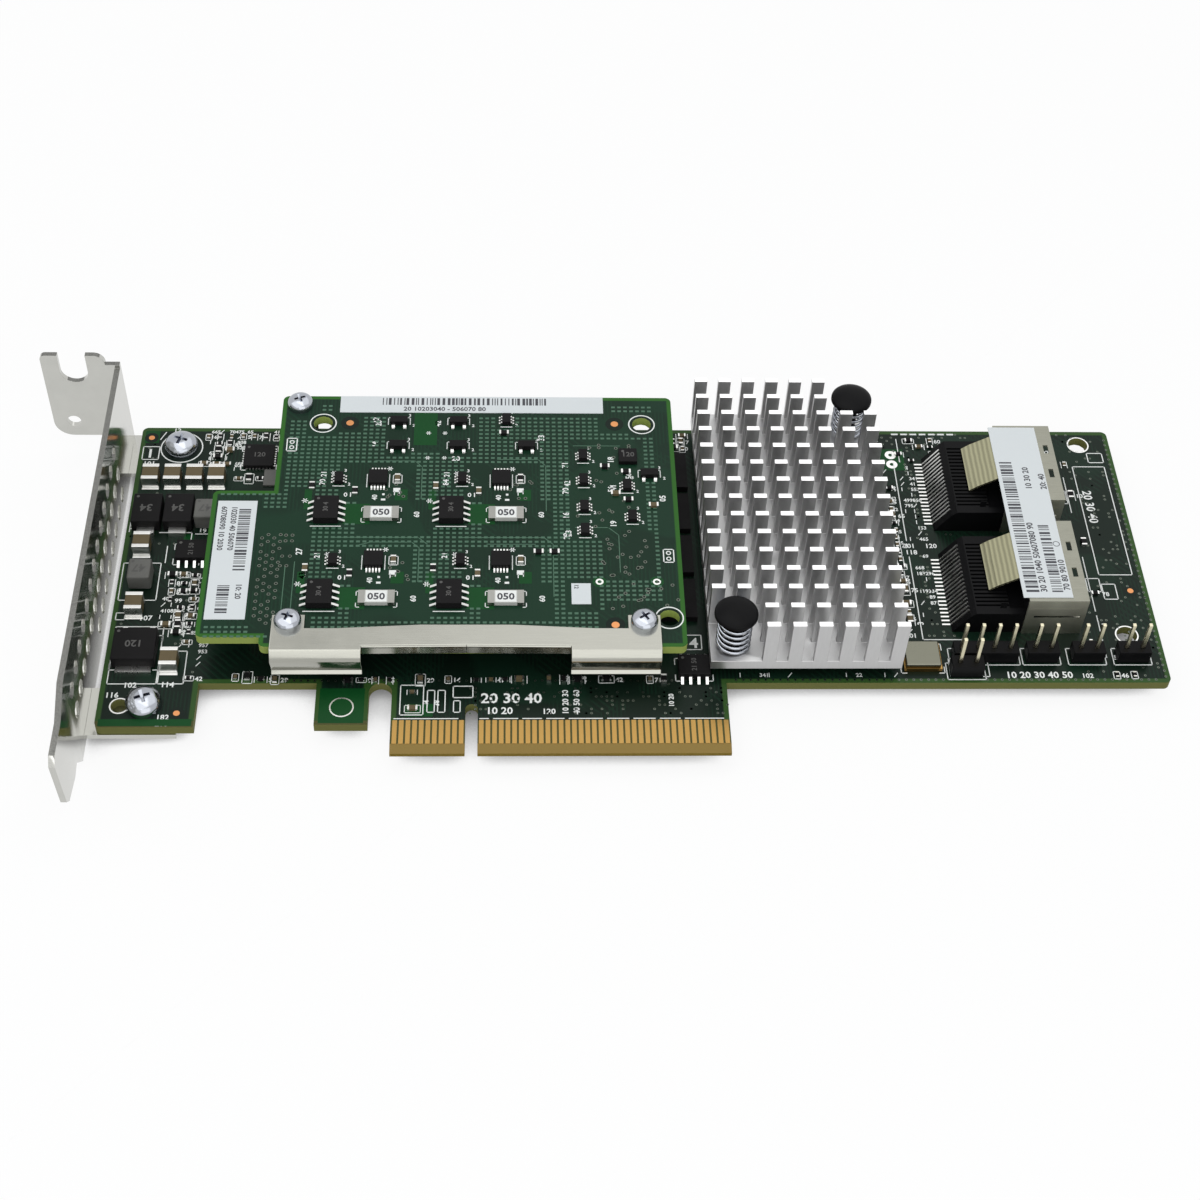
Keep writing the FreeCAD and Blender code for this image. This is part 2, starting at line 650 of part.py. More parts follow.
def make_connector(name, front):
    """A right-angle receptacle: moulded housing, stamped cage and its board contacts."""
    inner_front = f"({front} + cage_wall)"
    inner_width = "(cage_width - 2 * cage_wall)"
    deck = f"({FACE} + housing_back_height)"
    roof = f"({FACE} + cage_height)"
    nose = f"({HOUSING_BACK} + housing_depth)"

    housing = new_body(f"{name}_port_housing")
    slope = (f"{HOUSING_BACK} + 2.4", f"{deck} - 0.7")
    side = [(HOUSING_BACK, FACE), (CAGE_LEFT, FACE), (CAGE_LEFT, f"{FACE} + cage_wall"),
            (nose, f"{FACE} + cage_wall"), (nose, f"{roof} - cage_wall"),
            (f"{CAGE_LEFT} + 0.1", f"{roof} - cage_wall"), (f"{CAGE_LEFT} + 0.1", deck),
            (f"{HOUSING_BACK} + 3.2", deck), slope]
    slab(housing, "shell", "XZ_Plane", inner_front, inner_width, [side])
    block(housing, "blade_slot", (f"{nose} - 4.5", f"{inner_front} + 1.2", f"{FACE} + cage_height / 2 - 0.6"),
          ("6", f"{inner_width} - 2.4", "1.2"), cut=True)
    first = f"({front} + cage_width / 2 - (comb_slots - 1) * comb_pitch / 2)"
    comb = block(housing, "comb_slot", (f"{HOUSING_BACK} + 3.4", f"{first} - comb_slot / 2", f"{deck} - 0.5"),
                 (f"{CAGE_LEFT} - {HOUSING_BACK} - 3.6", "comb_slot", "1"), cut=True)
    repeat(housing, "comb", [("Y", "comb_pitch", "comb_slots")], [comb])

    tails = new_body(f"{name}_port_contacts")
    foot = f"({HOUSING_BACK} - tail_reach)"
    run = [(foot, FACE), (HOUSING_BACK, FACE), slope, (f"{slope[0]} - 0.18", f"{slope[1]} + 0.12"),
           (f"{HOUSING_BACK} - 0.12", f"{FACE} + tail_thick"), (foot, f"{FACE} + tail_thick")]
    slab(tails, "contact", "XZ_Plane", f"{first} + comb_pitch / 2 - comb_pitch - tail_width / 2", "tail_width", [run])
    repeat(tails, "contacts", [("Y", "comb_pitch", "comb_slots + 1")])

    cage = new_body(f"{name}_port_cage")
    block(cage, "shell", (CAGE_LEFT, front, FACE), ("cage_depth", "cage_width", "cage_height"))
    block(cage, "hollow", (f"{CAGE_LEFT} - 1", inner_front, f"{FACE} + cage_wall"),
          ("cage_depth + 2", inner_width, "cage_height - 2 * cage_wall"), cut=True)
    block(cage, "side_slit", (f"{CAGE_LEFT} + 1.3", f"{front} - 1", f"{FACE} + cage_height * 0.5"),
          ("cage_depth - 2", "cage_width + 2", "0.35"), cut=True)
    for index, across in enumerate(("5.1", "10.6")):
        block(cage, f"latch_window_{index}", (f"{CAGE_RIGHT} - 1.7", f"{front} + {across}", f"{roof} - 1"),
              ("0.8", "1.9", "2"), cut=True)
    start = f"({CAGE_LEFT} + 0.2)"
    tongue = [(start, roof), (start, f"{roof} - cage_wall"), (f"{CAGE_LEFT} - 0.4", f"{roof} - cage_wall"),
              (f"{CAGE_LEFT} - spring_tongue_reach + 1.2", f"{deck} + 1.05"),
              (f"{CAGE_LEFT} - spring_tongue_reach", f"{deck} + 0.12"),
              (f"{CAGE_LEFT} - spring_tongue_reach - 0.25", f"{deck} + 0.32"),
              (f"{CAGE_LEFT} - spring_tongue_reach + 0.95", f"{deck} + 1.32"),
              (f"{CAGE_LEFT} - 0.55", roof)]
    slab(cage, "spring_tongue", "XZ_Plane", f"{front} + cage_width - spring_tongue_width - 2.4",
         "spring_tongue_width", [tongue])


def make_connectors():
    make_connector("lower", CAGE_FRONT)
    make_connector("upper", f"({CAGE_FRONT} + connector_pitch)")
    label = new_body("port_label")
    block(label, "strip", (f"{CAGE_LEFT} - 0.9", f"{CAGE_FRONT} + 0.7", f"{FACE} + cage_height"),
          ("port_label_width", "connector_pitch + cage_width - 1.2", "label_thick"))


# ---- Daughter board and what holds it ----

def make_daughter_board():
    body = new_body("daughter_board")
    block(body, "main_field", (DAUGHTER_LEFT, DAUGHTER_FRONT, DAUGHTER_UNDER),
          ("daughter_length", "daughter_depth", "daughter_thick"))
    block(body, "wing", (f"{DAUGHTER_LEFT} - wing_length", f"{DAUGHTER_FRONT} + wing_foot", DAUGHTER_UNDER),
          ("wing_length + 1", "wing_depth", "daughter_thick"))
    holes = []
    for x, y in STRIP_SCREWS + [CORNER_SCREW]:
        holes.append((x, y, "daughter_screw_radius + 0.1"))
    far = f"({DAUGHTER_LEFT} + daughter_length)"
    back = f"({DAUGHTER_FRONT} + daughter_depth)"
    for x, y in ((f"{DAUGHTER_LEFT} + 6.9", f"{back} - 6.4"), (f"{far} - 5.1", f"{back} - 6.4"),
                 (f"{far} - 2.5", f"{DAUGHTER_FRONT} + 5.7")):
        holes.append((x, y, "daughter_hole_radius"))
    for index, (x, y, radius) in enumerate(holes):
        stud(body, f"hole_{index}", (x, y), radius, f"{DAUGHTER_UNDER} - 1", "daughter_thick + 2", cut=True)
    inner = [number(f"{DAUGHTER_FRONT} + wing_foot"), number(f"{DAUGHTER_FRONT} + wing_foot + wing_depth")]
    left = number(DAUGHTER_LEFT)
    round_edges(body, "corners", "corner_round",
                lambda edge: runs_along(edge, 2) and not any(runs_along(edge, 2, (0, left), (1, y)) for y in inner))


def make_standoffs():
    body = new_body("board_standoffs")
    for index, (x, y) in enumerate(STRIP_SCREWS + [CORNER_SCREW]):
        half = "standoff_flats / 2"
        reach = "standoff_flats / sqrt(3)"
        hexagon = [(f"{x} + {reach}", y), (f"{x} + {reach} / 2", f"{y} + {half}"),
                   (f"{x} - {reach} / 2", f"{y} + {half}"), (f"{x} - {reach}", y),
                   (f"{x} - {reach} / 2", f"{y} - {half}"), (f"{x} + {reach} / 2", f"{y} - {half}")]
        slab(body, f"standoff_{index}", "XY_Plane", FACE, "standoff_height", [hexagon])
        stud(body, f"thread_{index}", (x, y), "daughter_screw_radius", f"{DAUGHTER_UNDER} - 4", "5", cut=True)


def make_daughter_screws():
    body = new_body("daughter_screws")
    for index, centre in enumerate(STRIP_SCREWS + [CORNER_SCREW]):
        seat = f"({DAUGHTER_FACE} + strip_thick)" if index < len(STRIP_SCREWS) else f"({DAUGHTER_FACE})"
        pan_screw(body, f"screw_{index}", centre, ("daughter_screw_radius", f"{DAUGHTER_UNDER} - 3"), seat,
                  ("screw_head_radius", "screw_head_height"))


def make_retention_strip():
    body = new_body("retention_strip")
    left, right = STRIP_LEFT, STRIP_RIGHT
    front = f"({DAUGHTER_FRONT} - 0.9)"
    back = f"({front} + strip_width - strip_crown)"
    middle = f"(({left} + {right}) / 2)"
    plate = [(left, front), (f"{left} + flange_length", front), (f"{left} + flange_length", f"{front} + 0.75"),
             (middle, f"{front} + 0.95"), (f"{right} - flange_length", f"{front} + 0.75"),
             (f"{right} - flange_length", front), (right, front), (right, back),
             (f"{right} - 10", back), (f"{middle} + 7", f"{back} + strip_crown"),
             (f"{middle} - 7", f"{back} + strip_crown"), (f"{left} + 10", back), (left, back)]
    plate[7:8] = [(right, f"{back} + 2.6"), (f"{right} - 5", f"{back} + 2.6"), (f"{right} - 5", back)]
    plate[-1:] = [(f"{left} + 5", back), (f"{left} + 5", f"{back} + 2.6"), (left, f"{back} + 2.6")]
    slab(body, "flat", "XY_Plane", DAUGHTER_FACE, "strip_thick", [plate])
    high = f"({DAUGHTER_FACE} + strip_thick)"
    outer = [(front, high), (f"{front} - 0.5", f"{high} - 0.4"), (f"{front} - 1.1", f"{high} - 1.5"),
             (f"{front} - 1.1", f"{high} - 1.9"), (f"{front} - 0.35", f"{high} - flange_drop + 0.55"),
             (f"{front} - 0.85", f"{high} - flange_drop")]
    inner = [(f"{front} - 0.45", f"{high} - flange_drop - 0.2"), (f"{front} + 0.15", f"{high} - flange_drop + 0.55"),
             (f"{front} - 0.6", f"{high} - 1.9"), (f"{front} - 0.6", f"{high} - 1.6"),
             (f"{front} - 0.05", "%s - strip_thick" % high), (f"{front} + 0.02", "%s - strip_thick" % high),
             (f"{front} + 0.02", high)]
    for name, start in (("left_flange", left), ("right_flange", f"{right} - flange_length")):
        slab(body, name, "YZ_Plane", start, "flange_length", [outer + inner])
    for index, (x, y) in enumerate(STRIP_SCREWS):
        stud(body, f"hole_{index}", (x, y), "daughter_screw_radius + 0.1", f"{DAUGHTER_FACE} - 1", "strip_thick + 2", cut=True)


def make_stack_connectors():
    """Two board-to-board connectors: a socket on the main board and a plug under the daughter board."""
    places = [(f"{DAUGHTER_LEFT} - 2.6", f"{DAUGHTER_FRONT} + 7"),
              (f"{DAUGHTER_LEFT} + 50.2", f"{DAUGHTER_FRONT} + 9")]
    socket = new_body("stack_sockets")
    plug = new_body("stack_plugs")
    for index, (x, y) in enumerate(places):
        block(socket, f"socket_{index}", (x, y, FACE), ("stack_width", "stack_length", "stack_socket_height"))
        block(socket, f"cavity_{index}", (f"{x} + stack_wall", f"{y} + stack_wall", f"{FACE} + 1"),
              ("stack_width - 2 * stack_wall", "stack_length - 2 * stack_wall", "stack_socket_height"), cut=True)
        block(plug, f"flange_{index}", (x, y, f"{FACE} + stack_socket_height"),
              ("stack_width", "stack_length", "standoff_height - stack_socket_height"))
        block(plug, f"nose_{index}", (f"{x} + stack_wall + 0.1", f"{y} + stack_wall + 0.1", f"{FACE} + 1.2"),
              ("stack_width - 2 * stack_wall - 0.2", "stack_length - 2 * stack_wall - 0.2", "stack_socket_height"))


def make_board_labels():
    back = f"({DAUGHTER_FRONT} + daughter_depth)"
    places = [("serial_label", (f"{DAUGHTER_LEFT} + 9.5", f"{back} - 3.85"), ("43.7", "3.8")),
              ("side_label", (f"{DAUGHTER_LEFT} - wing_length + 1.0", f"{DAUGHTER_FRONT} + wing_foot + 3.4"),
               ("6.2", "24.6")),
              ("square_label", (f"{DAUGHTER_LEFT} + 47.2", f"{DAUGHTER_FRONT} + 8.4"), ("3.0", "4.2"))]
    for name, low, size in places:
        body = new_body(name)
        block(body, "paper", (low[0], low[1], DAUGHTER_FACE), (size[0], size[1], "label_thick"))


# ---- Packages and passives ----

def gull_leads(body, name, centre, seat, axis, half, reach, rise, width, pitch, count):
    """A row of bent leads on both long sides of a package, made as one pair and repeated."""
    plane, across = ("XZ_Plane", "Y") if axis == "X" else ("YZ_Plane", "X")
    middle, other = centre if axis == "X" else centre[::-1]
    pair = []
    for sign in ("+", "-"):
        near, far = f"{middle} {sign} ({half})", f"{middle} {sign} ({half} + {reach})"
        pair.append([(near, f"{seat} + {rise}"), (far, seat), (far, f"{seat} + lead_thick"),
                     (near, f"{seat} + {rise} + lead_thick")])
    start = f"{other} - ({count} - 1) * {pitch} / 2 - {width} / 2"
    made = slab(body, name, plane, start, width, pair)
    if count != "1":
        made = repeat(body, name + "_row", [(across, pitch, count)], [made])
    return made


def make_power_channels():
    """The four like channels of the daughter board, as a grid two by two."""
    ways = [("X", "channel_pitch_x", "2"), ("Y", "channel_pitch_y", "2")]

    switches = new_body("switch_chips")
    block(switches, "package", (f"{CHANNEL_X} - soic_width / 2", f"{CHANNEL_Y} - soic_length / 2", DAUGHTER_FACE),
          ("soic_width", "soic_length", "soic_height"))
    repeat(switches, "packages", ways)
    leads = new_body("switch_chip_leads")
    gull_leads(leads, "pair", (CHANNEL_X, CHANNEL_Y), DAUGHTER_FACE, "X", "soic_width / 2", "soic_reach",
               "soic_height * 0.35", "soic_lead", "soic_pitch", "4")
    repeat(leads, "chips", ways)

    x, y = f"({CHANNEL_X} + 7.9)", f"({CHANNEL_Y} + 7.3)"
    monitors = new_body("monitor_chips")
    block(monitors, "package", (f"{x} - monitor_size / 2", f"{y} - monitor_size / 2", DAUGHTER_FACE),
          ("monitor_size", "monitor_size", "monitor_height"))
    repeat(monitors, "packages", ways)
    x, y = f"({CHANNEL_X} + 8.7)", f"({CHANNEL_Y} - 0.5)"
    sense = new_body("sense_resistors")
    block(sense, "element", (f"{x} - sense_length / 2", f"{y} - sense_width / 2", f"{DAUGHTER_FACE} + 0.08"),
          ("sense_length", "sense_width", "sense_height"))
    for side, start in (("left", f"{x} - sense_length / 2 - 0.3"), ("right", f"{x} + sense_length / 2 + 0.3 - sense_end")):
        block(sense, side + "_end", (start, f"{y} - sense_width / 2 - 0.05", DAUGHTER_FACE),
              ("sense_end", "sense_width + 0.1", "sense_height"))
    repeat(sense, "elements", ways)


def make_transistors():
    back = f"({DAUGHTER_FRONT} + daughter_depth)"
    far = f"({DAUGHTER_LEFT} + daughter_length)"
    places = [(f"{DAUGHTER_LEFT} + 19.4", f"{back} - 6.2"), (f"{DAUGHTER_LEFT} + 19.4", f"{back} - 11.8"),
              (f"{DAUGHTER_LEFT} + 29.2", f"{back} - 6.2"), (f"{DAUGHTER_LEFT} + 29.2", f"{back} - 11.8"),
              (f"{DAUGHTER_LEFT} + 40.4", f"{back} - 11.8"), (f"{far} - 4.3", f"{back} - 18.1")]
    packages = new_body("transistors")
    for index, (x, y) in enumerate(places):
        block(packages, f"package_{index}", (f"{x} - sot_length / 2", f"{y} - sot_width / 2", DAUGHTER_FACE),
              ("sot_length", "sot_width", "sot_height"))


def make_logic_chips():
    back = f"({DAUGHTER_FRONT} + daughter_depth)"
    right = f"({DAUGHTER_LEFT} + 49.6)"
    places = [(f"{DAUGHTER_LEFT} + 37.1", f"{back} - 5.7"), (right, f"{back} - 14.0"), (right, f"{back} - 19.5"),
              (right, f"{back} - 25.4"), (right, f"{back} - 30.4"),
              (f"{right} + 7.6", f"{back} - 27.5"), (f"{right} + 7.0", f"{back} - 20.7")]
    for channel_x in ("0", "channel_pitch_x"):
        for channel_y in ("0", "channel_pitch_y"):
            places.append((f"{CHANNEL_X} + {channel_x} + 1.6", f"{CHANNEL_Y} + {channel_y} + 7.2"))
    packages = new_body("logic_chips")
    for index, (x, y) in enumerate(places):
        block(packages, f"package_{index}", (f"{x} - logic_width / 2", f"{y} - logic_size / 2", DAUGHTER_FACE),
              ("logic_width", "logic_size", "logic_height"))


def capacitor(body, name, centre, length, width, height, end):
    """A ceramic chip capacitor lying along Y: the ceramic and its two plated ends in one solid."""
    x, y = centre
    block(body, name, (f"{x} - {width} / 2", f"{y} - {length} / 2", FACE), (width, length, height))
    for side, low in (("front", f"{y} - {length} / 2 - 0.06"), ("back", f"{y} + {length} / 2 + 0.06 - {end}")):
        block(body, f"{name}_{side}", (f"{x} - {width} / 2 - 0.06", low, FACE),
              (f"{width} + 0.12", end, f"{height} + 0.05"))


def make_power_entry():
    """The capacitors, coils, diodes and regulators between the bracket and the daughter board."""
    capacitors = new_body("input_capacitors")
    for index in range(int(number("cap_count"))):
        capacitor(capacitors, f"bank_{index}", (f"{LEFT} + 2.8 + {index} * cap_pitch", f"{TOP} - 12.3"),
                  "cap_length", "cap_width", "cap_height", "cap_end")
    for index, (x, y) in enumerate(((3.4, 26.8), (3.1, 39.6), (10.0, 15.7))):
        capacitor(capacitors, f"single_{index}", (f"{LEFT} + {x}", f"board_foot + {y - 13.0 + 1.0:.2f}"),
                  "cap_length", "cap_width", "cap_height", "cap_end")

    diodes = new_body("power_diodes")
    block(diodes, "case", (f"{LEFT} + 0.9", f"{TOP} - 23.6", FACE), ("block_width", "block_length", "block_height"))
    repeat(diodes, "cases", [("X", "block_pitch", "2")])
    ends = new_body("power_diode_terminals")
    block(ends, "front", (f"{LEFT} + 0.9 + block_width * 0.2", f"{TOP} - 23.6 - 1.3", FACE),
          ("block_width * 0.6", "1.3", "0.9"))
    block(ends, "back", (f"{LEFT} + 0.9 + block_width * 0.2", f"{TOP} - 23.6 + block_length", FACE),
          ("block_width * 0.6", "0.5", "0.9"))
    repeat(ends, "pairs", [("X", "block_pitch", "2")])

    coils = new_body("inductors")
    for index, (x, y) in enumerate(((f"{LEFT} + 1.9", "board_foot + 18.8"), (f"{LEFT} + 11.0", f"{TOP} - 23.2"))):
        block(coils, f"coil_{index}", (x, y, FACE), ("coil_size - 0.5", "coil_size", "coil_height"))

    regulator = new_body("regulator")
    x, y = f"({LEFT} + 1.3)", "(board_foot + 2.9)"
    block(regulator, "case", (x, y, f"{FACE} + 0.1"), ("dpak_width", "dpak_length", "dpak_height"))
    plate = new_body("regulator_tab")
    block(plate, "tab", (f"{x} + 0.6", f"{y} - dpak_tab", FACE), ("dpak_width - 1.2", "dpak_tab", "dpak_plate"))
    for index, shift in enumerate(("0.8", "dpak_width - 1.6")):
        block(plate, f"lead_{index}", (f"{x} + {shift}", f"{y} + dpak_length", FACE), ("0.8", "1.6", "dpak_plate"))


def make_main_board_chips():
    drivers = new_body("driver_chips")
    leads = new_body("driver_chip_leads")
    places = [(f"({LEFT} + 11.1)", "(board_foot + 26.3)"), (f"({SINK_LEFT} - 2.3)", "(board_foot + 2.6)")]
    for index, (x, y) in enumerate(places):
        block(drivers, f"package_{index}", (f"{x} - soic_length / 2", f"{y} - soic_width / 2", FACE),
              ("soic_length", "soic_width", "soic_height"))
        gull_leads(leads, f"pair_{index}", (x, y), FACE, "Y", "soic_width / 2", "soic_reach",
                   "soic_height * 0.35", "soic_lead", "soic_pitch", "4")
    quads = new_body("quad_chips")
    block(quads, "power_controller", (f"{LEFT} + 17.6", f"{TOP} - 9.6", FACE), ("quad_size", "quad_size", "quad_height"))
    block(quads, "sequencer", (f"{DAUGHTER_LEFT} + daughter_length - 9.2", f"{DAUGHTER_FRONT} + daughter_depth - 15.7", DAUGHTER_FACE),
          ("quad_size * 0.6", "quad_size * 0.6", "quad_height"))


def make_oscillator():
    x, y = f"({SINK_RIGHT} + oscillator_gap)", "(board_foot + 2.2)"
    base = new_body("oscillator_base")
    block(base, "base", (x, y, FACE), ("oscillator_length", "oscillator_width", "oscillator_base"))
    lid = new_body("oscillator_lid")
    block(lid, "lid", (f"{x} + 0.2", f"{y} + 0.2", f"{FACE} + oscillator_base"),
          ("oscillator_length - 0.4", "oscillator_width - 0.4", "oscillator_lid"))


def make_headers():
    housings = new_body("header_housings")
    pins = new_body("header_pins")
    for index, (x, y, count) in enumerate(HEADERS):
        across = [("X", "header_pitch", count)]
        block(housings, f"housing_{index}", (x, y, FACE), (f"{count} * header_pitch", "header_width", "header_height"))
        corner = (f"{x} + header_pitch / 2 - pin_square / 2", f"{y} + header_width / 2 - pin_square / 2")
        bore = block(housings, f"bore_{index}", (*corner, FACE), ("pin_square", "pin_square", "header_height"), cut=True)
        repeat(housings, f"bores_{index}", across, [bore])
        first = block(pins, f"pin_{index}", (*corner, "0 - pin_below"),
                      ("pin_square", "pin_square", "board_thick + pin_above + pin_below"))
        repeat(pins, f"row_{index}", across, [first])


make_main_board()
make_edge_contacts()
make_bracket()
make_bracket_screws()
make_heatsink()
make_push_pins()
make_push_pin_springs()
make_controller()
make_memory_chips()
make_connectors()
make_daughter_board()
make_standoffs()
make_daughter_screws()
make_retention_strip()
make_stack_connectors()
make_board_labels()
make_power_channels()
make_transistors()
make_logic_chips()
make_power_entry()
make_main_board_chips()
make_oscillator()
make_headers()

doc.recompute()
for thing in doc.Objects:
    if "Invalid" in thing.State or "Error" in thing.State:
        raise RuntimeError(f"{thing.Name} ({thing.Label}) failed: {thing.State}")
for node in NODES:
    if node.Shape.isNull() or not node.Shape.isValid():
        raise RuntimeError(f"{node.Label} has no sound shape")

os.makedirs("parts", exist_ok=True)
for node in NODES:
    node.Shape.exportStep(f"parts/{node.Label}.step")
    print(f"{node.Label}: {len(node.Shape.Solids)} solids, {node.Shape.Volume:.2f} mm3")
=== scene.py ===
import json
import math
import random

import bmesh
import bpy
from mathutils import Matrix, Vector


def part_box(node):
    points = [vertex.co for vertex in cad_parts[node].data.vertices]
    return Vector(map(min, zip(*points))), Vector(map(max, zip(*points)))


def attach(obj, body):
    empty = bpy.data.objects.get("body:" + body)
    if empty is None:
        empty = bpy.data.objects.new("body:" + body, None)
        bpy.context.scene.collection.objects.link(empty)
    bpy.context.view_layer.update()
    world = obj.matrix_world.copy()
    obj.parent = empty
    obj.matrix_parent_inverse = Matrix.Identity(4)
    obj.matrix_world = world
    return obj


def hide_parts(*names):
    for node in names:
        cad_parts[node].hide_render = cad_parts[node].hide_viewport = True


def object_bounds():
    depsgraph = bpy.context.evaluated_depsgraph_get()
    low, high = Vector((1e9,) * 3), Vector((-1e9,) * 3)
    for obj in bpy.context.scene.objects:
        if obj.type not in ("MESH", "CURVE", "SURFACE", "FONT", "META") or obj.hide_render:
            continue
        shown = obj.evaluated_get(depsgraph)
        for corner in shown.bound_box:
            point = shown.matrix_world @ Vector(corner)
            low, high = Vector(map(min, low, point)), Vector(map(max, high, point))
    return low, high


MM = 0.001
BOARD_LEFT = -56.24      # the card's left edge, in the frame's millimetres
FACE = 1.57              # the component side of the main board
DAUGHTER_FACE = 9.14     # the component side of the daughter board
CHANNEL_STEPS = [(0.0, 0.0), (19.8, 0.0), (0.0, 17.6), (19.8, 17.6)]    # from the first power channel to each

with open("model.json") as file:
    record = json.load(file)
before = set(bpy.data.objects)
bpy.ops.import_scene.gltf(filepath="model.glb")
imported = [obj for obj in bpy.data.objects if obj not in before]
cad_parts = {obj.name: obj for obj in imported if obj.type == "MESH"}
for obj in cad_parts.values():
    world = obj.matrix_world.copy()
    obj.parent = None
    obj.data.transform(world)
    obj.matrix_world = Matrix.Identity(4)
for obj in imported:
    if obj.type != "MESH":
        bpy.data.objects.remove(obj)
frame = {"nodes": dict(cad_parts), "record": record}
cad_box = [list(corner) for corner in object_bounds()]
nodes_of = frame["nodes"]
bpy.context.scene.view_settings.view_transform = "Standard"


def placed(name, data):
    """A new object in the scene, at the origin."""
    thing = bpy.data.objects.new(name, data)
    bpy.context.scene.collection.objects.link(thing)
    return thing


# ---- Camera, light and floor ----

def aim_camera():
    data = bpy.data.cameras.new("Camera")
    data.lens = 61.13
    data.sensor_width = 36.0
    data.clip_start = 0.01
    forward = Vector((0.0433, 0.6489, -0.7597)).normalized()
    up = Vector((-0.0009, 0.7604, 0.6495))
    right = forward.cross(up).normalized()
    up = right.cross(forward)
    turn = Matrix((right, up, -forward)).transposed().to_4x4()
    camera = placed("Camera", data)
    camera.matrix_world = Matrix.Translation(Vector((6.05, -180.08, 247.23)) * MM) @ turn
    bpy.context.scene.camera = camera


def background_ray(nodes, links):
    """1 for the rays that show the background: straight, mirrored or through glass."""
    rays = nodes.new("ShaderNodeLightPath")
    first = nodes.new("ShaderNodeMath")
    first.operation = "MAXIMUM"
    links.new(rays.outputs["Is Camera Ray"], first.inputs[0])
    links.new(rays.outputs["Is Glossy Ray"], first.inputs[1])
    second = nodes.new("ShaderNodeMath")
    second.operation = "MAXIMUM"
    links.new(first.outputs[0], second.inputs[0])
    links.new(rays.outputs["Is Transmission Ray"], second.inputs[1])
    return second.outputs[0]


def light_the_room():
    """A dim world that shows as white behind the card, and three large soft lamps."""
    world = bpy.data.worlds.new("Studio")
    bpy.context.scene.world = world
    world.use_nodes = True
    nodes, links = world.node_tree.nodes, world.node_tree.links
    nodes.clear()
    dim = nodes.new("ShaderNodeBackground")
    dim.inputs["Color"].default_value = (0.95, 0.98, 1.0, 1)
    dim.inputs["Strength"].default_value = 0.38
    white = nodes.new("ShaderNodeBackground")
    white.inputs["Color"].default_value = (1, 1, 1, 1)
    white.inputs["Strength"].default_value = 1.0
    choose = nodes.new("ShaderNodeMixShader")
    output = nodes.new("ShaderNodeOutputWorld")
    links.new(background_ray(nodes, links), choose.inputs[0])
    links.new(dim.outputs[0], choose.inputs[1])
    links.new(white.outputs[0], choose.inputs[2])
    links.new(choose.outputs[0], output.inputs["Surface"])
    for name, spot, size, power in (("Key", (-0.26, -0.12, 0.75), 1.1, 3.6),
                                    ("Top", (0.26, 0.24, 0.80), 1.0, 1.8),
                                    ("Fill", (0.20, -0.70, 0.35), 0.8, 1.9)):
        data = bpy.data.lights.new(name, "AREA")
        data.size = size
        data.energy = power
        lamp = placed(name, data)
        lamp.location = spot
        lamp.rotation_euler = (-Vector(spot)).to_track_quat("-Z", "Y").to_euler()


def lay_floor():
    """A white floor that glows behind the card and keeps the card's soft shadow; near the card its glow is dimmed by
    ambient occlusion, a painted contact shadow in narrow gaps.
    """
    half, level = 3.0, cad_box[0][2] - 0.0001
    mesh = bpy.data.meshes.new("Floor")
    mesh.from_pydata([(-half, -half, level), (half, -half, level), (half, half, level), (-half, half, level)],
                     [], [(0, 1, 2, 3)])
    floor = placed("Floor", mesh)
    material = bpy.data.materials.new("white_floor")
    material.use_nodes = True
    nodes, links = material.node_tree.nodes, material.node_tree.links
    nodes.clear()
    matt = nodes.new("ShaderNodeBsdfDiffuse")
    matt.inputs["Color"].default_value = (0.98, 0.98, 0.98, 1)
    glow = nodes.new("ShaderNodeEmission")
    glow.inputs["Color"].default_value = (1, 1, 1, 1)
    # Painted shade: ambient occlusion dims the floor's glow in the narrow gaps near the card.
    occlusion_shade = nodes.new("ShaderNodeAmbientOcclusion")
    occlusion_shade.samples = 16
    occlusion_shade.inputs["Distance"].default_value = 0.012
    unshaded_glow = nodes.new("ShaderNodeMapRange")
    unshaded_glow.inputs["From Min"].default_value = 0.03
    unshaded_glow.inputs["From Max"].default_value = 0.42
    strength = nodes.new("ShaderNodeMath")
    strength.operation = "MULTIPLY"
    links.new(occlusion_shade.outputs["AO"], unshaded_glow.inputs["Value"])
    links.new(unshaded_glow.outputs[0], strength.inputs[0])
    links.new(background_ray(nodes, links), strength.inputs[1])
    links.new(strength.outputs[0], glow.inputs["Strength"])
    both = nodes.new("ShaderNodeMixShader")
    both.inputs[0].default_value = 0.88
    output = nodes.new("ShaderNodeOutputMaterial")
    links.new(matt.outputs[0], both.inputs[1])
    links.new(glow.outputs[0], both.inputs[2])
    links.new(both.outputs[0], output.inputs["Surface"])
    mesh.materials.append(material)


# ---- Finishes ----

LINE_GRAIN, LINE_DEPTH = 1500.0, 0.000006    # drawn or rolled lines in sheet metal
CLOUD_GRAIN = 160.0                          # soft patches of gloss on metal


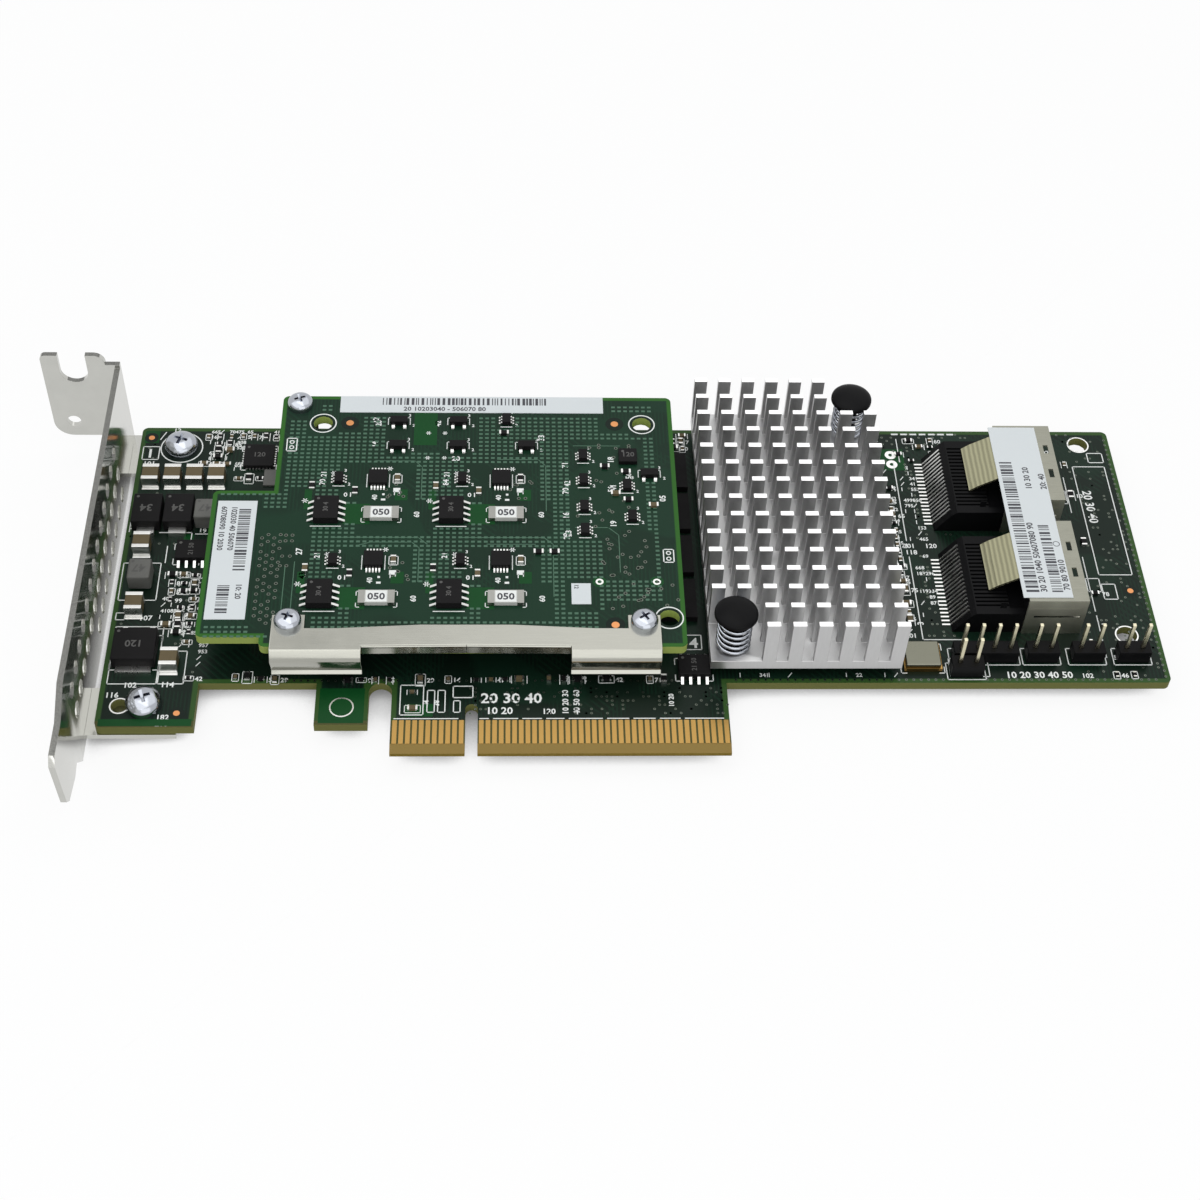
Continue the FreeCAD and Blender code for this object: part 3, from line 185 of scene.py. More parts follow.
class Finish:
    """A material with its nodes at hand, read on the object's own coordinates."""

    def __init__(self, name, rough=0.5, metal=0.0, specular=0.5):
        self.material = bpy.data.materials.new(name)
        self.material.use_nodes = True
        self.nodes = self.material.node_tree.nodes
        self.links = self.material.node_tree.links
        self.shader = self.nodes["Principled BSDF"]
        self.shader.inputs["Roughness"].default_value = rough
        self.shader.inputs["Metallic"].default_value = metal
        self.shader.inputs["Specular IOR Level"].default_value = specular
        self.place = self.nodes.new("ShaderNodeTexCoord").outputs["Object"]

    def maths(self, operation, first, second=None):
        node = self.nodes.new("ShaderNodeMath")
        node.operation = operation
        for socket, value in zip(node.inputs, (first, second)):
            if value is None:
                continue
            if isinstance(value, (int, float)):
                socket.default_value = value
            else:
                self.links.new(value, socket)
        return node.outputs[0]

    def noise(self, scale, detail=3.0, stretch=None):
        place = self.place
        if stretch:
            mapping = self.nodes.new("ShaderNodeMapping")
            mapping.inputs["Scale"].default_value = stretch
            self.links.new(place, mapping.inputs["Vector"])
            place = mapping.outputs[0]
        node = self.nodes.new("ShaderNodeTexNoise")
        node.inputs["Scale"].default_value = scale
        node.inputs["Detail"].default_value = detail
        self.links.new(place, node.inputs["Vector"])
        return node.outputs["Fac"]

    def bands(self, scale, way, distortion=0.0):
        node = self.nodes.new("ShaderNodeTexWave")
        node.bands_direction = way
        node.inputs["Scale"].default_value = scale
        node.inputs["Distortion"].default_value = distortion
        self.links.new(self.place, node.inputs["Vector"])
        return node.outputs["Fac"]

    def range(self, value, low, high, to_low, to_high):
        node = self.nodes.new("ShaderNodeMapRange")
        self.links.new(value, node.inputs["Value"])
        for name, number in (("From Min", low), ("From Max", high), ("To Min", to_low), ("To Max", to_high)):
            node.inputs[name].default_value = number
        return node.outputs[0]

    def blend(self, amount, first, second):
        node = self.nodes.new("ShaderNodeMix")
        node.data_type = "RGBA"
        self.links.new(amount, node.inputs["Factor"])
        for socket, value in ((node.inputs[6], first), (node.inputs[7], second)):
            if isinstance(value, tuple):
                socket.default_value = (*value, 1)
            else:
                self.links.new(value, socket)
        return node.outputs[2]

    def colour(self, value):
        self.links.new(value, self.shader.inputs["Base Color"])

    def rough(self, value):
        self.links.new(value, self.shader.inputs["Roughness"])

    def bump(self, height, depth, strength=0.6):
        node = self.nodes.new("ShaderNodeBump")
        node.inputs["Strength"].default_value = strength
        node.inputs["Distance"].default_value = depth
        self.links.new(height, node.inputs["Height"])
        self.links.new(node.outputs[0], self.shader.inputs["Normal"])

    def coordinate(self, axis):
        node = self.nodes.new("ShaderNodeSeparateXYZ")
        self.links.new(self.place, node.inputs[0])
        return node.outputs[axis]

    def facing_up(self):
        """How far the surface looks up, from -1 to 1."""
        geometry = self.nodes.new("ShaderNodeNewGeometry")
        split = self.nodes.new("ShaderNodeSeparateXYZ")
        self.links.new(geometry.outputs["Normal"], split.inputs[0])
        return split.outputs["Z"]

    def side_face(self):
        """1 on upright faces, 0 on faces that look up or down."""
        return self.maths("LESS_THAN", self.maths("ABSOLUTE", self.facing_up()), 0.5)

    def mean(self, first, second):
        return self.maths("MULTIPLY", self.maths("ADD", first, second), 0.5)

    def tones(self, amount, colour, spread):
        """The colour, darker to lighter by a share on each side."""
        return self.blend(amount, shade(colour, 1 - spread), shade(colour, 1 + spread))


def shade(colour, factor):
    return tuple(min(1.0, channel * factor) for channel in colour)


def mottled(name, colour, rough, metal=0.0, specular=0.5, grain=900.0, spread=0.12, dent=0.00001, stretch=None):
    """A plain finish whose colour, gloss and surface vary a little."""
    finish = Finish(name, rough, metal, specular)
    grains = finish.noise(grain, 4.0, stretch)
    clouds = finish.noise(grain * 0.12, 2.0)
    finish.colour(finish.tones(finish.mean(grains, clouds), colour, spread))
    finish.rough(finish.range(clouds, 0.3, 0.7, rough * 0.88, rough * 1.12))
    finish.bump(grains, dent)
    return finish.material


def solder_mask(name, mask, copper, edge, rim_colour, board, rim, bare_below=None):
    """Green lacquer over copper, with faint traces and poured areas, a rim without copper, and glass-fibre edges.

    board is a list of rectangles that cover the outline, in metres, and rim is the width without copper. Below
    bare_below the laminate has no lacquer, and below the bevel's height it is cut and golden.
    """
    finish = Finish(name, 0.34, 0.0, 0.13)
    across = finish.maths("MULTIPLY", finish.range(finish.bands(520.0, "X", 0.4), 0.62, 0.72, 0, 1),
                          finish.range(finish.noise(150.0, 1.0), 0.50, 0.54, 0, 1))
    along = finish.maths("MULTIPLY", finish.range(finish.bands(480.0, "DIAGONAL", 0.3), 0.66, 0.74, 0, 1),
                         finish.range(finish.noise(110.0, 1.0, (1.0, 1.6, 1.0)), 0.55, 0.58, 0, 1))
    traces = finish.maths("MAXIMUM", across, along)
    pours = finish.range(finish.noise(70.0, 0.0), 0.56, 0.60, 0, 0.42)
    lacquer = finish.blend(finish.maths("MAXIMUM", finish.maths("MULTIPLY", traces, 0.42), pours), mask, copper)
    x, y = finish.coordinate("X"), finish.coordinate("Y")
    inside = None
    for low_x, low_y, high_x, high_y in board:
        gap_x = finish.maths("MINIMUM", finish.maths("SUBTRACT", x, low_x), finish.maths("SUBTRACT", high_x, x))
        gap_y = finish.maths("MINIMUM", finish.maths("SUBTRACT", y, low_y), finish.maths("SUBTRACT", high_y, y))
        gap = finish.maths("MINIMUM", gap_x, gap_y)
        inside = gap if inside is None else finish.maths("MAXIMUM", inside, gap)
    bare = finish.range(inside, rim * 0.75, rim, 1, 0)
    face = finish.blend(bare, lacquer, rim_colour)
    layers = finish.range(finish.bands(1400.0, "Z", 1.5), 0.0, 1.0, 0.0, 0.6)
    fibre = finish.blend(layers, edge, shade(edge, 0.62))
    if bare_below is not None:
        face_bevel, edge_bevel = 0.00155, 0.0016
        face = finish.blend(finish.maths("LESS_THAN", y, bare_below), face, shade(edge, 0.34))
        face = finish.blend(finish.maths("LESS_THAN", y, face_bevel), face, (0.260, 0.175, 0.045))
        cut = finish.blend(finish.noise(1900.0, 3.0), (0.190, 0.125, 0.018), (0.380, 0.270, 0.055))
        fibre = finish.blend(finish.maths("LESS_THAN", y, edge_bevel), fibre, cut)
    side = finish.side_face()
    finish.colour(finish.blend(side, face, fibre))
    finish.rough(finish.range(side, 0, 1, 0.30, 0.62))
    finish.bump(finish.maths("ADD", traces, finish.maths("MULTIPLY", finish.noise(2600.0, 2.0), 0.25)), 0.000018, 0.5)
    return finish.material


def brushed(name, colour, rough, stretch):
    """Metal with fine lines along one way and soft clouds of gloss."""
    finish = Finish(name, rough, 1.0)
    lines = finish.noise(LINE_GRAIN, 3.0, stretch)
    clouds = finish.noise(CLOUD_GRAIN, 3.0)
    finish.colour(finish.tones(finish.mean(lines, clouds), colour, 0.10))
    finish.rough(finish.range(clouds, 0.3, 0.7, rough * 0.75, rough * 1.3))
    finish.bump(lines, LINE_DEPTH, 0.5)
    return finish.material


def sheared_sheet(name, colour, rough, stretch, edge_level):
    """Nickel-plated sheet whose sheared edges, which face up above a level, are darker and rougher."""
    finish = Finish(name, rough, 1.0)
    lines = finish.noise(LINE_GRAIN, 3.0, stretch)
    clouds = finish.noise(CLOUD_GRAIN, 3.0)
    edge = finish.maths("MULTIPLY", finish.maths("GREATER_THAN", finish.facing_up(), 0.8),
                        finish.maths("GREATER_THAN", finish.coordinate("Z"), edge_level))
    body = finish.tones(finish.mean(lines, clouds), colour, 0.10)
    sheared = finish.blend(finish.noise(5200.0, 2.0), shade(colour, 0.10), shade(colour, 0.55))
    finish.colour(finish.blend(edge, body, sheared))
    finish.rough(finish.maths("MAXIMUM", finish.range(clouds, 0.3, 0.7, rough * 0.75, rough * 1.3),
                              finish.maths("MULTIPLY", edge, 0.45)))
    finish.bump(lines, LINE_DEPTH, 0.5)
    return finish.material


def sawn_aluminium(name, colour, lit_top_colour, lit_top_level):
    """Extruded aluminium with drawn lines up its fins, and its tops above a level painted near white: a painted
    highlight for the overhead light they reflect.
    """
    finish = Finish(name, 0.38, 1.0)
    lines = finish.noise(1800.0, 3.0, (2.5, 2.5, 0.3))
    clouds = finish.noise(CLOUD_GRAIN, 3.0)
    body = finish.tones(finish.mean(lines, clouds), colour, 0.12)
    # Painted highlight: faces that look up above the level are painted near white, for the light they reflect.
    top = finish.maths("MULTIPLY", finish.maths("GREATER_THAN", finish.coordinate("Z"), lit_top_level),
                       finish.maths("SUBTRACT", 1.0, finish.side_face()))
    finish.colour(finish.blend(top, body, lit_top_colour))
    finish.rough(finish.range(clouds, 0.3, 0.7, 0.30, 0.46))
    finish.bump(lines, 0.00001, 0.5)
    return finish.material


def port_nickel(name, colour, spring_colour, spring_end):
    """Cage nickel whose upright sides are painted two to two and a half times lighter than its top, a painted
    highlight for how the light falls on them, and the pressed spring plate in front of it olive gold and ridged.
    """
    top_rough, side_rough = 0.24, 0.42
    finish = Finish(name, top_rough, 1.0)
    lines = finish.noise(LINE_GRAIN, 3.0, (0.4, 2.5, 0.4))
    spring = finish.maths("LESS_THAN", finish.coordinate("X"), spring_end)
    ridges = finish.range(finish.bands(470.0, "X", 0.8), 0.0, 1.0, 0.0, 1.0)
    gold = finish.blend(ridges, shade(spring_colour, 0.72), shade(spring_colour, 1.12))
    plain = finish.tones(lines, colour, 0.12)
    # Painted highlight: the upright sides are drawn two to two and a half times lighter than the top, for how the
    # light falls on them.
    painted_lit_wall = finish.blend(lines, shade(colour, 2.0), shade(colour, 2.5))
    side = finish.side_face()
    finish.colour(finish.blend(spring, finish.blend(side, plain, painted_lit_wall), gold))
    finish.rough(finish.range(side, 0, 1, top_rough, side_rough))
    pressed = finish.maths("MULTIPLY", finish.maths("MULTIPLY", spring, ridges), 6.0)
    finish.bump(finish.maths("ADD", lines, pressed), LINE_DEPTH)
    return finish.material


def make_finishes():
    board_outline = [(-0.05624, 0.013, 0.10846, 0.068), (-0.05624, 0.0047, -0.04154, 0.02),
                     (-0.02364, 0.0051, -0.01564, 0.02), (-0.01214, 0.0, 0.03906, 0.02)]
    daughter_outline = [(-0.03194, 0.014, 0.03266, 0.068), (-0.04154, 0.0159, -0.025, 0.0462)]
    return {
        "board_dark": solder_mask("dark_solder_mask", (0.005, 0.013, 0.008), (0.008, 0.034, 0.018),
                                  (0.230, 0.235, 0.075), (0.034, 0.085, 0.020), board_outline, 0.0009, 0.00586),
        "board_green": solder_mask("green_solder_mask", (0.006, 0.025, 0.013), (0.009, 0.046, 0.022),
                                   (0.440, 0.550, 0.140), (0.030, 0.130, 0.018), daughter_outline, 0.0008),
        "gold_plate": mottled("gold_plate", (0.38, 0.23, 0.07), 0.30, 1.0, grain=700.0, stretch=(3.0, 0.4, 1.0)),
        "bracket_steel": sheared_sheet("nickel_sheet", (0.52, 0.52, 0.49), 0.13, (0.3, 3.0, 0.3), 0.0095),
        "strip_steel": brushed("strip_sheet", (0.37, 0.37, 0.33), 0.20, (0.2, 3.0, 3.0)),
        "screw_steel": mottled("zinc_screw", (0.40, 0.42, 0.46), 0.17, 1.0, grain=1200.0, spread=0.08),
        # The heatsink's tops take a painted highlight, near white.
        "sink_aluminium": sawn_aluminium("sawn_aluminium", (0.49, 0.49, 0.49), (0.93, 0.93, 0.93), 0.0136),
        "black_nylon": mottled("moulded_nylon", (0.005, 0.005, 0.0055), 0.36, grain=1600.0, specular=0.07),
        "package_black": mottled("moulded_epoxy", (0.0085, 0.008, 0.0085), 0.52, grain=4000.0, specular=0.09,
                                 dent=0.00002),
        "grey_pad": mottled("thermal_pad_grey", (0.32, 0.34, 0.36), 0.8, grain=2500.0),
        "tinned_copper": mottled("tinned_lead", (0.72, 0.72, 0.70), 0.28, 1.0, grain=1500.0, spread=0.10),
        "solder_end": mottled("solder_plated_end", (0.30, 0.30, 0.28), 0.34, 1.0, grain=1500.0, spread=0.16),
        # The cage's sides take a painted highlight: they are drawn lighter than its top.
        "nickel_cage": port_nickel("cage_nickel", (0.24, 0.24, 0.20), (0.37, 0.36, 0.235), 0.08560),
        "label_paper": mottled("label_film", (0.70, 0.74, 0.755), 0.42, grain=500.0, spread=0.02, dent=0.000004),
        "brass_standoff": mottled("turned_brass", (0.66, 0.55, 0.30), 0.3, 1.0),
        "ivory_plastic": mottled("ivory_moulding", (0.62, 0.58, 0.47), 0.5),
        "white_ceramic": mottled("glazed_ceramic", (0.62, 0.62, 0.59), 0.25, grain=1200.0, spread=0.03),
        "tan_ceramic": mottled("capacitor_ceramic", (0.135, 0.105, 0.058), 0.50, grain=1300.0, spread=0.16,
                               specular=0.16),
        "grey_ferrite": mottled("pressed_ferrite", (0.110, 0.110, 0.102), 0.60, grain=3000.0, spread=0.2,
                                dent=0.00003),
        "lid_metal": brushed("lid_plate", (0.165, 0.165, 0.130), 0.26, (0.3, 3.0, 1.0)),
        "silk_white": mottled("silk_ink", (0.88, 0.90, 0.88), 0.6, grain=2600.0, spread=0.07, dent=0.000004),
        "ink_black": mottled("printed_ink", (0.035, 0.036, 0.045), 0.5, grain=2600.0, spread=0.1, dent=0.000002),
        "copper_dot": mottled("bare_copper", (0.62, 0.27, 0.11), 0.35, 1.0),
        "copper_dash": mottled("copper_under_mask", (0.075, 0.160, 0.105), 0.32, grain=1500.0, specular=0.2),
        "pour_green": mottled("copper_pour", (0.005, 0.062, 0.014), 0.32, grain=900.0, specular=0.12),
        # Dark bare laminate around sighting dots and holes; on the vias its discs are painted shade inside the holes.
        "mask_shadow": mottled("mask_clearance_and_hole_shade", (0.004, 0.011, 0.007), 0.4, grain=900.0, specular=0.14),
        "pin_gold": mottled("pale_gold_pin", (0.62, 0.58, 0.42), 0.28, 1.0, grain=1500.0, spread=0.08),
        "chip_print": mottled("laser_mark", (0.110, 0.108, 0.105), 0.6, grain=3000.0, specular=0.12),
        "via_tin": mottled("via_tin", (0.16, 0.18, 0.15), 0.35, 1.0),
    }


def softened(node, name, slot, width, finish=None):
    """A copy of a carried-over node with small rounded edges, which stands for it."""
    mesh = nodes_of[node].data.copy()
    mesh.name = name
    form = bmesh.new()
    form.from_mesh(mesh)
    bmesh.ops.remove_doubles(form, verts=form.verts, dist=1e-6)
    bmesh.ops.dissolve_limit(form, angle_limit=math.radians(1.0), verts=form.verts, edges=form.edges)
    for face in form.faces:
        face.smooth = True
    form.to_mesh(mesh)
    form.free()
    mesh.materials.clear()
    mesh.materials.append(FINISHES[finish or slot])
    mesh.set_sharp_from_angle(angle=math.radians(30))
    thing = placed(name, mesh)
    edge = thing.modifiers.new("Soft edges", "BEVEL")
    edge.width = width * MM
    edge.segments = 2
    edge.limit_method = "ANGLE"
    edge.angle_limit = math.radians(40)
    edge.harden_normals = True
    return keep(thing, (node,))


def soften_cad():
    for node, name, slot, width, finish in (
            ("heatsink", "heatsink_body", "sink_aluminium", 0.07, None),
            ("inductors", "inductor_bodies", "grey_ferrite", 0.35, None),
            ("power_diodes", "power_diode_cases", "package_black", 0.16, None),
            ("regulator", "regulator_case", "package_black", 0.16, None),
            ("quad_chips", "quad_chip_cases", "package_black", 0.10, None),
            ("driver_chips", "driver_chip_cases", "package_black", 0.12, None),
            ("switch_chips", "switch_chip_cases", "package_black", 0.14, None),
            ("monitor_chips", "monitor_chip_cases", "package_black", 0.08, None),
            ("transistors", "transistor_cases", "package_black", 0.10, None),
            ("logic_chips", "logic_chip_cases", "package_black", 0.08, None),
            ("oscillator_lid", "oscillator_cover", "lid_metal", 0.22, None),
            ("header_housings", "header_blocks", "black_nylon", 0.18, None),
            ("header_pins", "header_posts", "tinned_copper", 0.12, "pin_gold"),
            ("retention_strip", "strip_body", "bracket_steel", 0.10, "strip_steel"),
            ("mounting_bracket", "bracket_plate", "bracket_steel", 0.09, None)):
        softened(node, name, slot, width, finish)


def dress_cad():
    """Every carried-over node takes the finish that the record's slot names, or a closer one of its own."""
    closer = {"retention_strip": "strip_steel", "header_pins": "pin_gold"}
    slots = {row["node"]: row["material_slot"] for row in frame["record"]["subparts"]}
    for name, thing in nodes_of.items():
        slot = closer.get(name, slots[name])
        for place in thing.material_slots:
            place.material = FINISHES[slot]


# ---- Building blocks for the added pieces ----

BOX_FACES = [(0, 3, 2, 1), (4, 5, 6, 7), (0, 1, 5, 4), (1, 2, 6, 5), (2, 3, 7, 6), (3, 0, 4, 7)]


class Shape:
    """Points and faces in millimetres. Each face takes one of the finishes, by name, or else the first."""

    def __init__(self, *finishes):
        self.points = []
        self.faces = []
        self.kinds = []
        self.finishes = finishes

    def add(self, points, faces, kind=None):
        start = len(self.points)
        self.points.extend(points)
        self.faces.extend(tuple(start + index for index in face) for face in faces)
        self.kinds.extend([self.finishes.index(kind) if kind else 0] * len(faces))

    def block(self, low, high, kind=None):
        (a, b, c), (d, e, f) = low, high
        self.add([(a, b, c), (d, b, c), (d, e, c), (a, e, c), (a, b, f), (d, b, f), (d, e, f), (a, e, f)],
                 BOX_FACES, kind)

    def prism(self, outline, low, high, kind=None):
        """An upright prism; the outline runs anticlockwise seen from above."""
        count = len(outline)
        self.add([(x, y, low) for x, y in outline] + [(x, y, high) for x, y in outline],
                 [tuple(reversed(range(count))), tuple(range(count, 2 * count))]
                 + [(i, (i + 1) % count, count + (i + 1) % count, count + i) for i in range(count)], kind)

    def disc(self, x, y, radius, low, high, kind=None, sides=20):
        self.prism([(x + radius * math.cos(2 * math.pi * i / sides), y + radius * math.sin(2 * math.pi * i / sides))
                    for i in range(sides)], low, high, kind)

    def ring(self, x, y, inner, outer, low, high, kind=None, sides=28):
        points, faces = [], []
        for i in range(sides):
            turn = 2 * math.pi * i / sides
            for radius, z in ((inner, low), (outer, low), (outer, high), (inner, high)):
                points.append((x + radius * math.cos(turn), y + radius * math.sin(turn), z))
        for i in range(sides):
            a, b = 4 * i, 4 * ((i + 1) % sides)
            for j in range(4):
                k = (j + 1) % 4
                faces.append((a + j, b + j, b + k, a + k))
        self.add(points, [tuple(reversed(face)) for face in faces], kind)

    def lathe(self, x, y, profile, sides):
        """A closed solid turned about an upright axis, from (radius, z) points running up the outside."""
        points, faces = [], []
        for radius, z in profile:
            for i in range(sides):
                turn = 2 * math.pi * i / sides
                points.append((x + radius * math.cos(turn), y + radius * math.sin(turn), z))
        for row in range(len(profile) - 1):
            for i in range(sides):
                j = (i + 1) % sides
                faces.append((row * sides + i, row * sides + j, (row + 1) * sides + j, (row + 1) * sides + i))
        faces.append(tuple(reversed(range(sides))))
        last = (len(profile) - 1) * sides
        faces.append(tuple(range(last, last + sides)))
        self.add(points, faces)

    def line(self, x0, y0, x1, y1, width, low, high, kind=None):
        """A flat stroke between two points."""
        way = Vector((x1 - x0, y1 - y0)).normalized() * (width / 2)
        side = Vector((-way.y, way.x))
        self.prism([(x0 - way.x - side.x, y0 - way.y - side.y), (x1 + way.x - side.x, y1 + way.y - side.y),
                    (x1 + way.x + side.x, y1 + way.y + side.y), (x0 - way.x + side.x, y0 - way.y + side.y)],
                   low, high, kind)

    def gull(self, x, y, low, way, reach, width, height):
        """A gull-wing lead that leaves a package at (x, y) and runs along way, a unit step in X or Y."""
        middle, thick = low + height * 0.5, 0.16
        profile = [(-0.05, middle), (reach * 0.34, middle), (reach * 0.62, low + thick), (reach, low + thick),
                   (reach, low), (reach * 0.5, low), (reach * 0.2, middle - thick), (-0.05, middle - thick)]
        side = (-way[1] * width / 2, way[0] * width / 2)
        near = [(x + way[0] * u - side[0], y + way[1] * u - side[1], z) for u, z in profile]
        far = [(x + way[0] * u + side[0], y + way[1] * u + side[1], z) for u, z in profile]
        count = len(profile)
        self.add(near + far, [tuple(range(count)), tuple(reversed(range(count, 2 * count)))]
                 + [(i, count + i, count + (i + 1) % count, (i + 1) % count) for i in range(count)])

    def digits(self, text, x, y, level, height, turn=0.0, weight=0.03):
        """Plain numbers, drawn flat from their lower left corner."""
        size_of_height, thick = 1.38, 0.02
        curve = bpy.data.curves.new("digits", "FONT")
        curve.body = text
        curve.size = height * size_of_height
        curve.resolution_u = 2
        curve.offset = height * weight
        curve.extrude = thick / 2
        thing = placed("digits", curve)
        mesh = bpy.data.meshes.new_from_object(thing.evaluated_get(bpy.context.evaluated_depsgraph_get()))
        place = Matrix.Translation((x, y, level + thick / 2)) @ Matrix.Rotation(turn, 4, "Z")
        self.add([tuple(place @ vertex.co) for vertex in mesh.vertices],
                 [tuple(face.vertices) for face in mesh.polygons])
        bpy.data.objects.remove(thing)
        bpy.data.meshes.remove(mesh)
        bpy.data.curves.remove(curve)

    def plain_mesh(self, name):
        mesh = bpy.data.meshes.new(name)
        mesh.from_pydata([(x * MM, y * MM, z * MM) for x, y, z in self.points], [], self.faces)
        return mesh

    def finish(self, name, slot, smooth=False, bevel=0.0, replaces=()):
        mesh = self.plain_mesh(name)
        for finish in self.finishes:
            mesh.materials.append(FINISHES[finish])
        mesh.polygons.foreach_set("material_index", self.kinds)
        mesh.polygons.foreach_set("use_smooth", [smooth] * len(self.faces))
        mesh.update()
        thing = placed(name, mesh)
        if smooth:
            mesh.set_sharp_from_angle(angle=math.radians(38))
        if bevel:
            edge = thing.modifiers.new("Soft edges", "BEVEL")
            edge.width = bevel * MM
            edge.segments = 2
            edge.limit_method = "ANGLE"
        return keep(thing, replaces)


class Print(Shape):
    """White ink on a board's face: strokes, outlines and plain numbers, whose turns are in degrees."""

    def __init__(self, face):
        super().__init__("silk_white")
        self.low, self.high = face - 0.01, face + 0.03

    def stroke(self, x0, y0, x1, y1, width=0.16):
        self.line(x0, y0, x1, y1, width, self.low, self.high)

    def outline(self, x0, y0, x1, y1, width=0.16):
        for ends in ((x0, y0, x1, y0), (x1, y0, x1, y1), (x1, y1, x0, y1), (x0, y1, x0, y0)):
            self.stroke(*ends, width)

    def patch(self, x0, y0, x1, y1):
        self.block((x0, y0, self.low), (x1, y1, self.high))

    def hoop(self, x, y, inner, outer, sides):
        self.ring(x, y, inner, outer, self.low, self.high, sides=sides)

    def number(self, text, x, y, height, turn=0):
        self.digits(text, x, y, self.low, height, math.radians(turn))

    def star(self, x, y, reach):
        for turn in (0, math.pi / 3, 2 * math.pi / 3):
            dx, dy = reach * math.cos(turn), reach * math.sin(turn)
            self.stroke(x - dx, y - dy, x + dx, y + dy, 0.14)

    def corners(self, box, gap, tall, wide, width):
        """A bracket at each corner of a part's place."""
        (x0, y0, _), (x1, y1, _) = box
        bottom, top = y0 - 0.3, y1 + 0.3
        for side, way in ((x0 - gap, 1), (x1 + gap, -1)):
            self.stroke(side, bottom, side, bottom + tall, width)
            self.stroke(side, bottom, side + way * wide, bottom, width)
            self.stroke(side, top - tall, side, top, width)
            self.stroke(side, top, side + way * wide, top, width)


def keep(thing, replaces=()):
    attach(thing, "root")
    if replaces:
        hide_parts(*replaces)
    return thing


def new_tree(name, source, sizes):
    """An empty Geometry Nodes tree with one mesh and some named sizes as its inputs."""
    tree = bpy.data.node_groups.new(name, "GeometryNodeTree")
    tree.interface.new_socket(source, in_out="INPUT", socket_type="NodeSocketGeometry")
    for title in sizes:
        tree.interface.new_socket(title, in_out="INPUT", socket_type="NodeSocketFloat")
    tree.interface.new_socket("Pieces", in_out="OUTPUT", socket_type="NodeSocketGeometry")
    return tree, tree.nodes.new("NodeGroupInput")


def close_tree(tree, pieces, finish):
    """Makes the instances real, gives them their finish and sends them out."""
    nodes, links = tree.nodes, tree.links
    real = nodes.new("GeometryNodeRealizeInstances")
    paint = nodes.new("GeometryNodeSetMaterial")
    paint.inputs["Material"].default_value = FINISHES[finish]
    output = nodes.new("NodeGroupOutput")
    links.new(pieces, real.inputs[0])
    links.new(real.outputs[0], paint.inputs[0])
    links.new(paint.outputs[0], output.inputs[0])


def named_value(nodes, name, kind):
    node = nodes.new("GeometryNodeInputNamedAttribute")
    node.data_type = kind
    node.inputs["Name"].default_value = name
    return node.outputs["Attribute"]


def scatter_tree(name, round_form, finish):
    """A tree that sets one block or disc on every point, turned and sized by the point's own values."""
    titles = ("Length", "Width", "Height")
    tree, source = new_tree(name, "Spots", titles)
    nodes, links = tree.nodes, tree.links
    sizes = nodes.new("ShaderNodeCombineXYZ")
    for axis, title in zip("XYZ", titles):
        links.new(source.outputs[title], sizes.inputs[axis])
    if round_form:
        form = nodes.new("GeometryNodeMeshCylinder")
        form.inputs["Vertices"].default_value = 12
        form.inputs["Radius"].default_value = 0.5
        form.inputs["Depth"].default_value = 1.0
    else:
        form = nodes.new("GeometryNodeMeshCube")
        form.inputs["Size"].default_value = (1, 1, 1)
    put = nodes.new("GeometryNodeInstanceOnPoints")
    links.new(source.outputs["Spots"], put.inputs["Points"])
    links.new(form.outputs["Mesh"], put.inputs["Instance"])
    turn = nodes.new("ShaderNodeCombineXYZ")
    links.new(named_value(nodes, "turn", "FLOAT"), turn.inputs["Z"])
    links.new(turn.outputs[0], put.inputs["Rotation"])
    scale = nodes.new("ShaderNodeVectorMath")
    scale.operation = "MULTIPLY"
    links.new(sizes.outputs[0], scale.inputs[0])
    links.new(named_value(nodes, "share", "FLOAT_VECTOR"), scale.inputs[1])
    links.new(scale.outputs[0], put.inputs["Scale"])
    close_tree(tree, put.outputs[0], finish)
    return tree


def grown(name, source_mesh, tree, inputs, smooth=False, replaces=()):
    """Runs a Geometry Nodes tree on a mesh once, and keeps its result as a plain mesh."""
    maker = placed(name + "_maker", source_mesh)
    modifier = maker.modifiers.new("Form", "NODES")
    modifier.node_group = tree
    for item in tree.interface.items_tree:
        if item.in_out == "INPUT" and item.name in inputs:
            modifier[item.identifier] = inputs[item.name]
    maker.update_tag()
    mesh = bpy.data.meshes.new_from_object(maker.evaluated_get(bpy.context.evaluated_depsgraph_get()))
    maker.modifiers.remove(modifier)
    bpy.data.objects.remove(maker)
    mesh.name = name
    mesh.polygons.foreach_set("use_smooth", [smooth] * len(mesh.polygons))
    if smooth:
        mesh.set_sharp_from_angle(angle=math.radians(40))
    return keep(placed(name, mesh), replaces)


def scatter(name, spots, size, finish, round_form=False):
    """One small block or disc at each spot: (x, y, z of its middle, turn, share of the size)."""
    mesh = bpy.data.meshes.new(name + "_spots")
    mesh.from_pydata([(x * MM, y * MM, z * MM) for x, y, z, *_ in spots], [], [])
    turns = mesh.attributes.new("turn", "FLOAT", "POINT")
    shares = mesh.attributes.new("share", "FLOAT_VECTOR", "POINT")
    for index, spot in enumerate(spots):
        turns.data[index].value = spot[3] if len(spot) > 3 else 0.0
        shares.data[index].vector = spot[4] if len(spot) > 4 else (1, 1, 1)
    length, width, height = size
    return grown(name, mesh, scatter_tree(name + "_tree", round_form, finish),
                 {"Length": length * MM, "Width": width * MM, "Height": height * MM})


